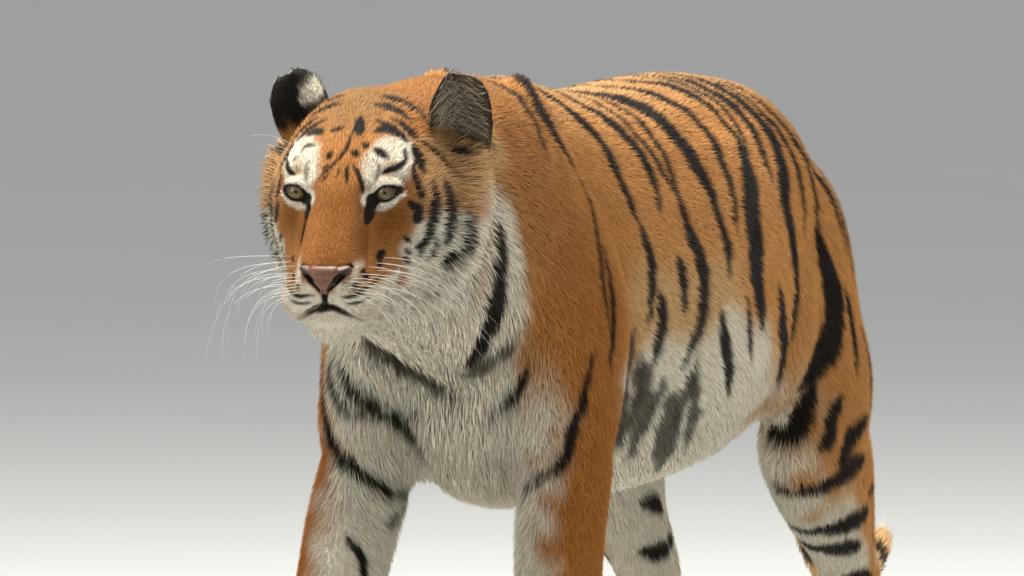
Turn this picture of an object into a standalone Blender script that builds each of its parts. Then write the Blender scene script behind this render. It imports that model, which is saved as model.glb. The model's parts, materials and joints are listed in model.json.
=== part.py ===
"""A walking Amur tiger, life size, as a still museum model.

Metres, +Z up.  The tiger faces -Y, its left side is +X, and it stands on the
flat undersides of its four paws at z = 0.  The body is modelled whole from
named sizes, then parted by thin cuts into head, neck, trunk, tail, legs and
paws.  Outlines include the coat.
"""
import math

import bmesh
import bpy
import numpy as np
from mathutils import Euler, Matrix, Vector

for old in list(bpy.data.objects):
    bpy.data.objects.remove(old, do_unlink=True)

# ---------------------------------------------------------------- sizes
GAP = 0.0003            # thin cut between neighbouring nodes
VOXEL = 0.007           # grain of the whole body before it is simplified
FACES = 4700            # triangles of the whole body after it is simplified
RING = 24               # points round a section

HEAD_AT = Vector((-0.0015, -0.984, 0.803))   # midpoint between the eyes
HEAD_PITCH = math.radians(20.0)             # nose carried below level
HEAD_YAW = math.radians(4.5)                # turned to the tiger's left
EYE_APART = 0.105       # between the eye centres
EYE_R = 0.0175          # radius of an eyeball

SOLE_LIFT = 0.008       # how much of a paw's round underside the flat takes


# ---------------------------------------------------------------- helpers
def keep(bm, name):
    """Close a bmesh into a mesh object of the scene."""
    mesh = bpy.data.meshes.new(name)
    bm.to_mesh(mesh)
    bm.free()
    ob = bpy.data.objects.new(name, mesh)
    bpy.context.scene.collection.objects.link(ob)
    return ob


def spline(rows, steps):
    """Catmull-Rom curve through rows of numbers, steps per span."""
    rows = np.array(rows, dtype=float)
    first = 2.0 * rows[0] - rows[1]
    last = 2.0 * rows[-1] - rows[-2]
    p = np.vstack([first, rows, last])
    out = []
    for i in range(1, len(p) - 2):
        for k in range(steps):
            t = k / steps
            a = 2.0 * p[i]
            b = p[i + 1] - p[i - 1]
            c = 2.0 * p[i - 1] - 5.0 * p[i] + 4.0 * p[i + 1] - p[i + 2]
            d = -p[i - 1] + 3.0 * p[i] - 3.0 * p[i + 1] + p[i + 2]
            out.append(0.5 * (a + b * t + c * t * t + d * t ** 3))
    out.append(rows[-1])
    return out


def skin_rings(rings, name):
    """Loft closed rings of points, with flat ends."""
    bm = bmesh.new()
    loops = [[bm.verts.new(p) for p in ring] for ring in rings]
    n = len(loops[0])
    for a, b in zip(loops, loops[1:]):
        for i in range(n):
            j = (i + 1) % n
            bm.faces.new((a[i], a[j], b[j], b[i]))
    bm.faces.new(list(reversed(loops[0])))
    bm.faces.new(loops[-1])
    bmesh.ops.recalc_face_normals(bm, faces=bm.faces)
    return keep(bm, name)


def barrel(rows, name):
    """Loft along Y.  Row: y, x, z top, z bottom, z of the widest, half width."""
    rings = []
    for y, x, top, low, mid, half in spline(rows, 3):
        ring = []
        for i in range(RING):
            a = 2.0 * math.pi * i / RING
            c = math.cos(a)
            s = math.sin(a)
            rise = (top - mid) if s > 0.0 else (mid - low)
            px = x + half * math.copysign(abs(c) ** 0.92, c)
            pz = mid + rise * math.copysign(abs(s) ** 0.92, s)
            ring.append(Vector((px, y, pz)))
        rings.append(ring)
    return skin_rings(rings, name)


def tube(rows, name, mirror=1.0):
    """Loft along a path.  Row: x, y, z, half width across, half depth fore-aft."""
    line = spline(rows, 3)
    rings = []
    for k, row in enumerate(line):
        before = line[max(k - 1, 0)]
        after = line[min(k + 1, len(line) - 1)]
        run = Vector(after[:3] - before[:3]).normalized()
        side = Vector((1.0, 0.0, 0.0))
        side = (side - run * side.dot(run)).normalized()
        fore = run.cross(side)
        mid = Vector(row[:3])
        ring = []
        for i in range(RING):
            a = 2.0 * math.pi * i / RING
            p = mid + side * (row[3] * math.cos(a)) + fore * (row[4] * math.sin(a))
            ring.append(Vector((p.x * mirror, p.y, p.z)))
        rings.append(ring)
    return skin_rings(rings, name)


def ball(at, radii, name, turn=(0.0, 0.0, 0.0), frame=None, fine=3):
    """Ellipsoid; turn in degrees about its own axes, frame the space it is in."""
    bm = bmesh.new()
    bmesh.ops.create_icosphere(bm, subdivisions=fine, radius=1.0)
    turn = Euler([math.radians(t) for t in turn]).to_matrix().to_4x4()
    m = Matrix.Translation(Vector(at)) @ turn @ Matrix.Diagonal((*radii, 1.0))
    if frame is not None:
        m = frame @ m
    bmesh.ops.transform(bm, matrix=m, verts=bm.verts)
    bmesh.ops.recalc_face_normals(bm, faces=bm.faces)
    return keep(bm, name)


def box(at, half, turn, name, grow=0.0):
    """Upright block turned by degrees about X, Y and Z."""
    bm = bmesh.new()
    bmesh.ops.create_cube(bm, size=2.0)
    size = [h + grow for h in half]
    turn = Euler([math.radians(t) for t in turn]).to_matrix().to_4x4()
    m = Matrix.Translation(Vector(at)) @ turn @ Matrix.Diagonal((*size, 1.0))
    bmesh.ops.transform(bm, matrix=m, verts=bm.verts)
    return keep(bm, name)


def settle(ob):
    """Turn an object's modifiers into its mesh."""
    deps = bpy.context.evaluated_depsgraph_get()
    mesh = bpy.data.meshes.new_from_object(ob.evaluated_get(deps))
    ob.modifiers.clear()
    old = ob.data
    ob.data = mesh
    bpy.data.meshes.remove(old)


def fuse(obs, name):
    """Join several objects into one mesh."""
    bm = bmesh.new()
    for ob in obs:
        bm.from_mesh(ob.data)
        bpy.data.objects.remove(ob, do_unlink=True)
    return keep(bm, name)


def tidy(ob):
    """Triangles only, no slivers or crumbs, normals outward."""
    bm = bmesh.new()
    bm.from_mesh(ob.data)
    bmesh.ops.remove_doubles(bm, verts=bm.verts, dist=0.00002)
    bmesh.ops.triangulate(bm, faces=bm.faces)
    bmesh.ops.dissolve_degenerate(bm, edges=bm.edges, dist=0.00002)
    bmesh.ops.triangulate(bm, faces=bm.faces)
    bm.verts.ensure_lookup_table()
    seen = set()
    islands = []
    for v in bm.verts:
        if v.index in seen:
            continue
        stack = [v]
        seen.add(v.index)
        group = []
        while stack:
            w = stack.pop()
            group.append(w)
            for e in w.link_edges:
                o = e.other_vert(w)
                if o.index not in seen:
                    seen.add(o.index)
                    stack.append(o)
        islands.append(group)
    islands.sort(key=len)
    for group in islands[:-1]:
        bmesh.ops.delete(bm, geom=group, context="VERTS")
    bmesh.ops.recalc_face_normals(bm, faces=bm.faces)
    if bm.calc_volume(signed=True) < 0.0:
        bmesh.ops.reverse_faces(bm, faces=bm.faces)
    bm.to_mesh(ob.data)
    bm.free()


def knife(ob, cutter, operation):
    """Exact boolean of ob with cutter, written into ob."""
    mod = ob.modifiers.new("cut", "BOOLEAN")
    mod.operation = operation
    mod.solver = "EXACT"
    mod.object = cutter
    settle(ob)


def carve(body, at, half, turn, name):
    """Part the block's share of the body off as a new node."""
    inner = box(at, half, turn, "inner", -GAP / 2.0)
    outer = box(at, half, turn, "outer", GAP / 2.0)
    share = bpy.data.objects.new(name, body.data.copy())
    bpy.context.scene.collection.objects.link(share)
    knife(share, inner, "INTERSECT")
    knife(body, outer, "DIFFERENCE")
    for cutter in (inner, outer):
        bpy.data.objects.remove(cutter, do_unlink=True)
    tidy(share)
    tidy(body)
    return share


def paint(ob, colour, rough):
    """Give an object its own material."""
    mat = bpy.data.materials.new(ob.name + "_finish")
    mat.use_nodes = True
    node = mat.node_tree.nodes["Principled BSDF"]
    node.inputs["Base Color"].default_value = (*colour, 1.0)
    node.inputs["Roughness"].default_value = rough
    ob.data.materials.clear()
    ob.data.materials.append(mat)
    for face in ob.data.polygons:
        face.material_index = 0


# ---------------------------------------------------------------- head space
# Head space: x to the tiger's left, -y forward, z up, origin between the eyes.
HEAD = (
    Matrix.Translation(HEAD_AT)
    @ Matrix.Rotation(HEAD_YAW, 4, "Z")
    @ Matrix.Rotation(HEAD_PITCH, 4, "X")
)
parts = []

# ---------------------------------------------------------------- trunk
parts.append(barrel([
    (-0.640, 0.0, 0.800, 0.540, 0.660, 0.060),
    (-0.620, 0.0, 0.850, 0.480, 0.650, 0.115),
    (-0.570, 0.0, 0.890, 0.435, 0.640, 0.138),
    (-0.500, 0.0, 0.922, 0.408, 0.635, 0.142),
    (-0.420, 0.0, 0.916, 0.402, 0.630, 0.145),
    (-0.320, 0.0, 0.902, 0.400, 0.625, 0.156),
    (-0.220, 0.0, 0.896, 0.400, 0.620, 0.168),
    (-0.120, 0.0, 0.900, 0.402, 0.620, 0.176),
    (-0.020, 0.0, 0.904, 0.406, 0.620, 0.178),
    (0.080, 0.0, 0.906, 0.414, 0.625, 0.172),
    (0.170, 0.0, 0.904, 0.430, 0.640, 0.162),
    (0.250, 0.0, 0.898, 0.460, 0.660, 0.152),
    (0.320, 0.0, 0.890, 0.500, 0.680, 0.145),
    (0.390, 0.0, 0.864, 0.540, 0.700, 0.124),
    (0.450, 0.0, 0.834, 0.590, 0.715, 0.094),
    (0.492, 0.0, 0.808, 0.660, 0.735, 0.056),
], "trunk_form"))

# ---------------------------------------------------------------- neck
parts.append(barrel([
    (-0.480, 0.0, 0.918, 0.500, 0.720, 0.112),
    (-0.560, 0.0, 0.925, 0.520, 0.720, 0.128),
    (-0.640, 0.0, 0.931, 0.555, 0.735, 0.132),
    (-0.700, 0.0, 0.929, 0.585, 0.750, 0.130),
    (-0.760, 0.0, 0.924, 0.608, 0.765, 0.126),
    (-0.820, -0.002, 0.915, 0.625, 0.775, 0.120),
    (-0.880, -0.003, 0.900, 0.640, 0.780, 0.108),
], "neck_form"))

# ---------------------------------------------------------------- tail
parts.append(tube([
    (0.000, 0.390, 0.820, 0.050, 0.045),
    (0.000, 0.470, 0.803, 0.046, 0.044),
    (0.000, 0.548, 0.742, 0.037, 0.036),
    (0.000, 0.602, 0.640, 0.033, 0.033),
    (0.000, 0.632, 0.520, 0.031, 0.031),
    (0.002, 0.658, 0.400, 0.030, 0.030),
    (0.006, 0.705, 0.300, 0.029, 0.029),
    (0.010, 0.785, 0.240, 0.028, 0.028),
    (0.012, 0.872, 0.240, 0.027, 0.027),
    (0.012, 0.930, 0.262, 0.025, 0.025),
    (0.012, 0.958, 0.278, 0.019, 0.019),
    (0.012, 0.970, 0.286, 0.008, 0.008),
], "tail_form"))


# ---------------------------------------------------------------- forelegs
def foreleg(side, swing, elbow, forearm, wrist, ball_at):
    """Shoulder blade to paw; each place is (x outward, y, z)."""
    s = side
    tag = "left" if s > 0 else "right"
    out = []
    # blade and upper arm: the wide shoulder mass
    out.append(tube([
        (0.036, -0.480, 0.884, 0.020, 0.050),
        (0.054, -0.510 + swing * 0.2, 0.856, 0.040, 0.092),
        (0.074, -0.530 + swing * 0.3, 0.790, 0.052, 0.120),
        (0.088, -0.525 + swing * 0.5, 0.715, 0.063, 0.130),
        (0.100, -0.515 + swing * 0.8, 0.640, 0.072, 0.128),
        (0.106, -0.525 + swing, 0.570, 0.068, 0.112),
        (elbow[0], elbow[1] - 0.005, elbow[2] + 0.010, 0.060, 0.095),
        (elbow[0] - 0.002, elbow[1], elbow[2] - 0.040, 0.052, 0.075),
    ], "shoulder_" + tag, s))
    # forearm to wrist to foot
    out.append(tube([
        (elbow[0], elbow[1] + 0.005, elbow[2] + 0.050, 0.052, 0.080),
        (elbow[0], elbow[1], elbow[2] - 0.020, 0.057, 0.082),
        (forearm[0], forearm[1], forearm[2], 0.056, 0.070),
        ((forearm[0] + wrist[0]) / 2.0, (forearm[1] + wrist[1]) / 2.0,
         (forearm[2] + wrist[2]) / 2.0, 0.053, 0.060),
        (wrist[0], wrist[1], wrist[2], 0.047, 0.048),
        ((wrist[0] + ball_at[0]) / 2.0, (wrist[1] + ball_at[1]) / 2.0 + 0.006,
         (wrist[2] + 0.050) / 2.0, 0.047, 0.045),
        (ball_at[0], ball_at[1] + 0.018, 0.055, 0.052, 0.048),
    ], "forearm_" + tag, s))
    # point of the elbow
    out.append(ball((s * elbow[0], elbow[1] + 0.070, elbow[2] + 0.020),
                    (0.034, 0.036, 0.055), "elbow_" + tag))
    return out


def paw(side, at, width, length, toe_out, tag):
    """Paw under a leg: a broad pad, the knuckles and four toes side by side."""
    frame = (Matrix.Translation(Vector((side * at[0], at[1], 0.0)))
             @ Matrix.Rotation(math.radians(side * toe_out), 4, "Z"))
    out = [
        ball((0.0, 0.010, 0.036), (width * 0.47, length * 0.42, 0.044),
             "pad_" + tag, frame=frame),
        ball((0.0, -length * 0.17, 0.040), (width * 0.42, length * 0.25, 0.038),
             "knuckles_" + tag, turn=(14.0, 0.0, 0.0), frame=frame),
    ]
    for k, (across, ahead, size) in enumerate(TOES):
        out.append(ball((width * across, length * ahead, 0.028),
                        (width * 0.138 * size, length * 0.26 * size, 0.037 * size),
                        "toe_%d_%s" % (k, tag), turn=(8.0, 0.0, -across * 18.0),
                        frame=frame))
    return out


# each toe: across, ahead, size, as shares of the paw
TOES = ((-0.370, -0.240, 0.90), (-0.130, -0.375, 1.0), (0.130, -0.375, 1.0), (0.370, -0.240, 0.90))
L_ELBOW = (0.108, -0.535, 0.490)
L_FOREARM = (0.104, -0.545, 0.385)
L_WRIST = (0.092, -0.522, 0.200)
L_PAW = (0.088, -0.545, 0.0)
R_ELBOW = (0.120, -0.572, 0.500)
R_FOREARM = (0.124, -0.632, 0.385)
R_WRIST = (0.116, -0.758, 0.215)
R_PAW = (0.106, -0.838, 0.0)
parts += foreleg(1.0, 0.0, L_ELBOW, L_FOREARM, L_WRIST, L_PAW)
parts += foreleg(-1.0, -0.055, R_ELBOW, R_FOREARM, R_WRIST, R_PAW)
FORE_W = 0.120
FORE_L = 0.155
parts += paw(1.0, L_PAW, FORE_W, FORE_L, -4.0, "fl")
parts += paw(-1.0, R_PAW, FORE_W, FORE_L, -4.0, "fr")


# ---------------------------------------------------------------- hind legs
def hindleg(side, knee, hock, ball_at):
    """Hip to paw; each place is (x outward, y, z)."""
    s = side
    tag = "left" if s > 0 else "right"
    out = []
    hip = Vector((0.072, 0.335, 0.770))
    knee = Vector(knee)
    hock = Vector(hock)
    mid = hip.lerp(knee, 0.55)
    # thigh: pelvis to knee, deepest half way down
    out.append(tube([
        (0.036, 0.325, 0.830, 0.024, 0.055),
        (0.052, 0.328, 0.790, 0.046, 0.100),
        (0.072, 0.336, 0.735, 0.066, 0.132),
        (0.084, 0.350, 0.670, 0.076, 0.145),
        (mid.x - 0.002, mid.y + 0.062, mid.z - 0.010, 0.073, 0.148),
        (knee.x - 0.006, knee.y + 0.105, knee.z + 0.070, 0.064, 0.142),
        (knee.x - 0.004, knee.y + 0.120, knee.z + 0.005, 0.058, 0.128),
        (knee.x - 0.004, knee.y + 0.150, knee.z - 0.045, 0.048, 0.095),
    ], "thigh_" + tag, s))
    # flank fold in front of the thigh
    out.append(ball((s * 0.098, knee.y * 0.45 + 0.108, 0.600), (0.066, 0.105, 0.135),
                    "flank_" + tag, turn=(-18.0, 0.0, 0.0)))
    # calf: knee to hock, thin above the heel
    out.append(tube([
        (knee.x - 0.006, knee.y + 0.046, knee.z + 0.075, 0.040, 0.040),
        (knee.x - 0.002, knee.y + 0.022, knee.z + 0.036, 0.050, 0.056),
        (knee.x, knee.y + 0.030, knee.z - 0.002, 0.056, 0.074),
        tuple(knee.lerp(hock, 0.30) + Vector((0.0, 0.030, 0.012))) + (0.055, 0.086),
        tuple(knee.lerp(hock, 0.60) + Vector((0.0, 0.022, 0.010))) + (0.044, 0.066),
        tuple(knee.lerp(hock, 0.82) + Vector((0.0, 0.010, 0.004))) + (0.037, 0.050),
        (hock.x, hock.y, hock.z, 0.034, 0.044),
        (hock.x - 0.002, hock.y + 0.012, hock.z - 0.030, 0.033, 0.042),
    ], "calf_" + tag, s))
    # heel and the cord that runs up from it
    out.append(tube([
        (knee.x - 0.020, knee.y + 0.150, knee.z + 0.110, 0.040, 0.050),
        (knee.x - 0.010, (knee.y + 0.210 + hock.y - 0.082) / 2.0, hock.z + 0.175, 0.042, 0.056),
        (hock.x + 0.006, hock.y - 0.022, hock.z + 0.105, 0.030, 0.040),
        (hock.x, hock.y + 0.026, hock.z + 0.052, 0.022, 0.027),
        (hock.x, hock.y + 0.044, hock.z + 0.012, 0.023, 0.024),
        (hock.x, hock.y + 0.034, hock.z - 0.040, 0.025, 0.028),
    ], "heel_" + tag, s))
    # foot: hock down to the toes
    out.append(tube([
        (hock.x, hock.y + 0.010, hock.z + 0.010, 0.034, 0.044),
        (hock.x - 0.002, hock.y + 0.012, hock.z - 0.050, 0.033, 0.040),
        ((hock.x + ball_at[0]) / 2.0, (hock.y + 0.012 + ball_at[1] + 0.030) / 2.0,
         hock.z * 0.55, 0.036, 0.038),
        (ball_at[0], ball_at[1] + 0.028, 0.080, 0.042, 0.040),
        (ball_at[0], ball_at[1] + 0.014, 0.045, 0.046, 0.044),
    ], "foot_" + tag, s))
    return out


L_KNEE = (0.122, 0.270, 0.440)
L_HOCK = (0.102, 0.574, 0.244)
L_HIND = (0.094, 0.566, 0.0)
R_KNEE = (0.112, 0.135, 0.455)
R_HOCK = (0.092, 0.375, 0.244)
R_HIND = (0.086, 0.320, 0.0)
parts += hindleg(1.0, L_KNEE, L_HOCK, L_HIND)
parts += hindleg(-1.0, R_KNEE, R_HOCK, R_HIND)
HIND_W = 0.108
HIND_L = 0.145
parts += paw(1.0, L_HIND, HIND_W, HIND_L, 4.0, "hl")
parts += paw(-1.0, R_HIND, HIND_W, HIND_L, 2.0, "hr")


# ---------------------------------------------------------------- head
def head_ring(row):
    """Section of the head.  Row: forward, top, low, widest at, half width, pinch."""
    ahead, top, low, mid, half, pinch = row
    ring = []
    for i in range(RING):
        a = 2.0 * math.pi * i / RING
        c = math.cos(a)
        s = math.sin(a)
        rise = (top - mid) if s > 0.0 else (mid - low)
        wide = half * (1.0 - pinch * max(s, 0.0))
        ring.append(HEAD @ Vector((wide * c, -ahead, mid + rise * s)))
    return ring


head_rows = [
    (-0.230, 0.030, -0.100, -0.030, 0.075, 0.0),
    (-0.200, 0.052, -0.130, -0.040, 0.100, 0.0),
    (-0.160, 0.070, -0.150, -0.045, 0.116, 0.05),
    (-0.110, 0.081, -0.158, -0.045, 0.122, 0.10),
    (-0.060, 0.079, -0.156, -0.045, 0.117, 0.14),
    (-0.020, 0.064, -0.150, -0.048, 0.105, 0.16),
    (0.010, 0.040, -0.146, -0.056, 0.089, 0.22),
    (0.035, 0.014, -0.143, -0.068, 0.073, 0.32),
    (0.060, -0.006, -0.130, -0.078, 0.063, 0.36),
    (0.085, -0.020, -0.121, -0.084, 0.056, 0.38),
    (0.105, -0.033, -0.114, -0.086, 0.048, 0.40),
    (0.118, -0.046, -0.107, -0.084, 0.034, 0.38),
]
parts.append(skin_rings([head_ring(r) for r in spline(head_rows, 2)], "skull_form"))
for s, tag in ((1.0, "left"), (-1.0, "right")):
    # cheek ruff, whisker pad, brow and cheekbone
    parts.append(ball((s * 0.095, 0.118, -0.078), (0.043, 0.070, 0.094),
                      "ruff_" + tag, turn=(-24.0, s * 8.0, 0.0), frame=HEAD))
    parts.append(ball((s * 0.074, 0.130, -0.138), (0.044, 0.060, 0.046),
                      "ruff_low_" + tag, turn=(-20.0, 0.0, 0.0), frame=HEAD))
    parts.append(ball((s * 0.031, -0.083, -0.094), (0.031, 0.036, 0.030),
                      "whisker_pad_" + tag, turn=(14.0, 0.0, s * 12.0), frame=HEAD))
    parts.append(ball((s * 0.050, 0.026, 0.022), (0.034, 0.030, 0.020),
                      "brow_" + tag, turn=(20.0, s * 18.0, 0.0), frame=HEAD))
    parts.append(ball((s * 0.070, 0.018, -0.046), (0.030, 0.052, 0.034),
                      "cheek_" + tag, turn=(10.0, 0.0, -s * 20.0), frame=HEAD))
parts.append(ball((0.0, -0.080, -0.129), (0.038, 0.034, 0.027), "chin", frame=HEAD))
parts.append(ball((0.0, 0.034, -0.140), (0.058, 0.108, 0.038), "jaw", frame=HEAD))
parts.append(ball((0.0, -0.056, -0.032), (0.034, 0.070, 0.024),
                  "nose_bridge", turn=(30.0, 0.0, 0.0), frame=HEAD))

# ---------------------------------------------------------------- one body
body = fuse(parts, "trunk")
mod = body.modifiers.new("grain", "REMESH")
mod.mode = "VOXEL"
mod.voxel_size = VOXEL
settle(body)
mod = body.modifiers.new("soften", "SMOOTH")
mod.factor = 0.5
mod.iterations = 8
settle(body)

mod = body.modifiers.new("simplify", "DECIMATE")
mod.ratio = FACES / (2.0 * len(body.data.polygons))
mod.use_collapse_triangulate = True
settle(body)

# flat soles at one level
bm = bmesh.new()
bm.from_mesh(body.data)
cut = bmesh.ops.bisect_plane(
    bm, geom=bm.verts[:] + bm.edges[:] + bm.faces[:], dist=1e-6,
    plane_co=(0.0, 0.0, SOLE_LIFT - 0.010), plane_no=(0.0, 0.0, -1.0), clear_outer=True)
rim = [e for e in cut["geom_cut"] if isinstance(e, bmesh.types.BMEdge)]
bmesh.ops.holes_fill(bm, edges=rim, sides=0)
bm.to_mesh(body.data)
bm.free()
tidy(body)


# ---------------------------------------------------------------- eyes, ears, nose
def swell(ob, by, name):
    """Copy of an object pushed out along its own normals."""
    copy = bpy.data.objects.new(name, ob.data.copy())
    bpy.context.scene.collection.objects.link(copy)
    bm = bmesh.new()
    bm.from_mesh(copy.data)
    bm.normal_update()
    shift = [v.normal * by for v in bm.verts]
    for v, d in zip(bm.verts, shift):
        v.co += d
    bm.to_mesh(copy.data)
    bm.free()
    return copy


def ear(base, turn, lean, tilt, name):
    """A cup of skin and fur, opening outward and a little forward."""
    tall = 0.118
    deep = 0.026
    thick = 0.010
    widths = ((0.0, 0.030), (0.2, 0.037), (0.4, 0.041), (0.6, 0.0415),
              (0.78, 0.0375), (0.91, 0.0285), (1.0, 0.0155))
    across = 7
    front = []
    back = []
    for v, half in widths:
        row_f = []
        row_b = []
        for k in range(across):
            u = 2.0 * k / (across - 1) - 1.0
            sag = deep * (1.0 - u * u) * (1.0 - 0.55 * v)
            lip = 0.35 + 0.65 * (1.0 - abs(u) ** 3)
            row_f.append(Vector((half * u, sag, tall * v)))
            row_b.append(Vector((half * u * 0.985, sag + thick * lip, tall * v - 0.001)))
        front.append(row_f)
        back.append(row_b)
    place = (HEAD @ Matrix.Translation(Vector(base))
             @ Matrix.Rotation(math.radians(turn), 4, "Z")
             @ Matrix.Rotation(math.radians(lean), 4, "X")
             @ Matrix.Rotation(math.radians(tilt), 4, "Y"))
    bm = bmesh.new()
    f = [[bm.verts.new(place @ p) for p in row] for row in front]
    b = [[bm.verts.new(place @ p) for p in row] for row in back]
    rows = len(widths)
    for i in range(rows - 1):
        for k in range(across - 1):
            bm.faces.new((f[i][k], f[i][k + 1], f[i + 1][k + 1], f[i + 1][k]))
            bm.faces.new((b[i][k], b[i + 1][k], b[i + 1][k + 1], b[i][k + 1]))
    for k in range(across - 1):
        bm.faces.new((f[0][k], b[0][k], b[0][k + 1], f[0][k + 1]))
        bm.faces.new((f[-1][k], f[-1][k + 1], b[-1][k + 1], b[-1][k]))
    for i in range(rows - 1):
        bm.faces.new((f[i][0], f[i + 1][0], b[i + 1][0], b[i][0]))
        bm.faces.new((f[i][-1], b[i][-1], b[i + 1][-1], f[i + 1][-1]))
    bmesh.ops.triangulate(bm, faces=bm.faces)
    bmesh.ops.recalc_face_normals(bm, faces=bm.faces)
    return keep(bm, name)


def prism(outline, y0, y1, side, grow, name):
    """Block along Y with an (x outward, z) outline; grow pushes its cut faces out."""
    bm = bmesh.new()
    ends = []
    for y in (y0 - grow, y1 + grow):
        ends.append([bm.verts.new((side * (x - g[0] * grow), y, z + g[1] * grow))
                     for (x, z), g in zip(outline, ((1, 0), (0, 0), (0, 1.45), (1, 1.45)))])
    bm.faces.new(ends[0])
    bm.faces.new(list(reversed(ends[1])))
    for i in range(4):
        j = (i + 1) % 4
        bm.faces.new((ends[0][i], ends[1][i], ends[1][j], ends[0][j]))
    bmesh.ops.recalc_face_normals(bm, faces=bm.faces)
    return keep(bm, name)


def carve_leg(body, outline, y0, y1, side, name):
    """Part a leg off the body along the armpit or groin."""
    inner = prism(outline, y0, y1, side, -GAP / 2.0, "inner")
    outer = prism(outline, y0, y1, side, GAP / 2.0, "outer")
    share = bpy.data.objects.new(name, body.data.copy())
    bpy.context.scene.collection.objects.link(share)
    knife(share, inner, "INTERSECT")
    knife(body, outer, "DIFFERENCE")
    for cutter in (inner, outer):
        bpy.data.objects.remove(cutter, do_unlink=True)
    tidy(share)
    tidy(body)
    return share


nodes = []
cut_at = HEAD @ Vector((0.0, 0.170 - 0.300, -0.020))
head = carve(body, cut_at, (0.30, 0.30, 0.30),
             (math.degrees(HEAD_PITCH), 0.0, math.degrees(HEAD_YAW)), "head")
NECK_SLANT = -27.0
reach = Euler((math.radians(NECK_SLANT), 0.0, 0.0)).to_matrix() @ Vector((0.0, -0.30, 0.0))
neck = carve(body, Vector((0.0, -0.640, 0.780)) + reach, (0.25, 0.30, 0.225),
             (NECK_SLANT, 0.0, 0.0), "neck")
tail = carve(body, (0.0, 0.530 + 0.30, 0.55), (0.050, 0.30, 0.40), (0.0, 0.0, 0.0), "tail_base")
tip = carve(tail, (0.0, 0.830, 0.20), (0.10, 0.40, 0.225), (0.0, 0.0, 0.0), "tail_tip")
FORE_CUT = ((0.030, -0.05), (0.32, -0.05), (0.32, 0.70), (0.030, 0.43))
HIND_CUT = ((0.016, -0.05), (0.32, -0.05), (0.32, 0.80), (0.016, 0.50))
legs = [
    carve_leg(body, FORE_CUT, -0.780, -0.372, 1.0, "fore_leg_left"),
    carve_leg(body, FORE_CUT, -1.050, -0.400, -1.0, "fore_leg_right"),
    carve_leg(body, HIND_CUT, 0.170, 0.800, 1.0, "hind_leg_left"),
    carve_leg(body, HIND_CUT, 0.070, 0.800, -1.0, "hind_leg_right"),
]
paws = []
for leg, y in zip(legs, (L_PAW[1], R_PAW[1], L_HIND[1], R_HIND[1])):
    name = leg.name.replace("leg", "paw")
    paws.append(carve(leg, (0.0, y, 0.155 - 0.30), (0.30, 0.30, 0.30), (0.0, 0.0, 0.0), name))

eyes = []
for side, tag in ((1.0, "left"), (-1.0, "right")):
    at = (side * EYE_APART / 2.0, -0.003, 0.0)
    socket = ball(at, (EYE_R + GAP,) * 3, "socket", frame=HEAD, fine=2)
    eyes.append(ball(at, (EYE_R,) * 3, "eye_" + tag, frame=HEAD, fine=2))
    knife(head, socket, "DIFFERENCE")
    bpy.data.objects.remove(socket, do_unlink=True)
tidy(head)

nose = fuse([
    ball((0.0, -0.107, -0.055), (0.030, 0.015, 0.013), "leather", turn=(-20.0, 0.0, 0.0),
         frame=HEAD),
    ball((0.0, -0.111, -0.064), (0.020, 0.012, 0.012), "leather_mid", frame=HEAD),
    ball((0.0, -0.112, -0.071), (0.009, 0.010, 0.010), "leather_low", frame=HEAD),
], "nose")
mod = nose.modifiers.new("grain", "REMESH")
mod.mode = "VOXEL"
mod.voxel_size = 0.0025
settle(nose)
mod = nose.modifiers.new("simplify", "DECIMATE")
mod.ratio = 200.0 / (2.0 * len(nose.data.polygons))
settle(nose)
tidy(nose)
bed = swell(nose, GAP * 1.3, "bed")
knife(head, bed, "DIFFERENCE")
bpy.data.objects.remove(bed, do_unlink=True)
tidy(head)

ears = [
    ear((0.109, 0.146, -0.022), 42.0, 10.0, -9.0, "ear_left"),
    ear((-0.066, 0.142, -0.020), -128.0, 14.0, 12.0, "ear_right"),
]
for base in (head, neck):
    bed = swell(base, GAP * 1.3, "bed")
    for ob in ears:
        knife(ob, bed, "DIFFERENCE")
        tidy(ob)
    bpy.data.objects.remove(bed, do_unlink=True)

# claws: the tips that show in front of each toe
claws = []
for foot, side, at, width, length, out_turn in (
        (paws[0], 1.0, L_PAW, FORE_W, FORE_L, -4.0),
        (paws[1], -1.0, R_PAW, FORE_W, FORE_L, -4.0),
        (paws[2], 1.0, L_HIND, HIND_W, HIND_L, 4.0),
        (paws[3], -1.0, R_HIND, HIND_W, HIND_L, 2.0)):
    frame = (Matrix.Translation(Vector((side * at[0], at[1], 0.0)))
             @ Matrix.Rotation(math.radians(side * out_turn), 4, "Z"))
    for k, (across, ahead, size) in enumerate(TOES):
        spot = (width * across, length * (ahead - 0.205 * size), 0.026)
        radii = (0.0035, 0.014, 0.0055)
        claw = ball(spot, radii, foot.name.replace("paw", "claw") + "_%d" % (k + 1),
                    turn=(22.0, 0.0, -across * 18.0), frame=frame)
        mod = claw.modifiers.new("simplify", "DECIMATE")
        mod.ratio = 0.07
        settle(claw)
        tidy(claw)
        bed = swell(claw, GAP * 1.3, "bed")
        knife(foot, bed, "DIFFERENCE")
        bpy.data.objects.remove(bed, do_unlink=True)
        claws.append(claw)
    tidy(foot)

# ---------------------------------------------------------------- finish
trunk = body
fur = [head, neck, trunk, tail, tip] + legs + paws + ears
for ob in fur:
    paint(ob, (0.55, 0.27, 0.10), 0.9)
for ob in eyes:
    paint(ob, (0.30, 0.27, 0.08), 0.1)
paint(nose, (0.35, 0.20, 0.15), 0.5)
for ob in claws:
    paint(ob, (0.75, 0.68, 0.55), 0.4)

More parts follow.
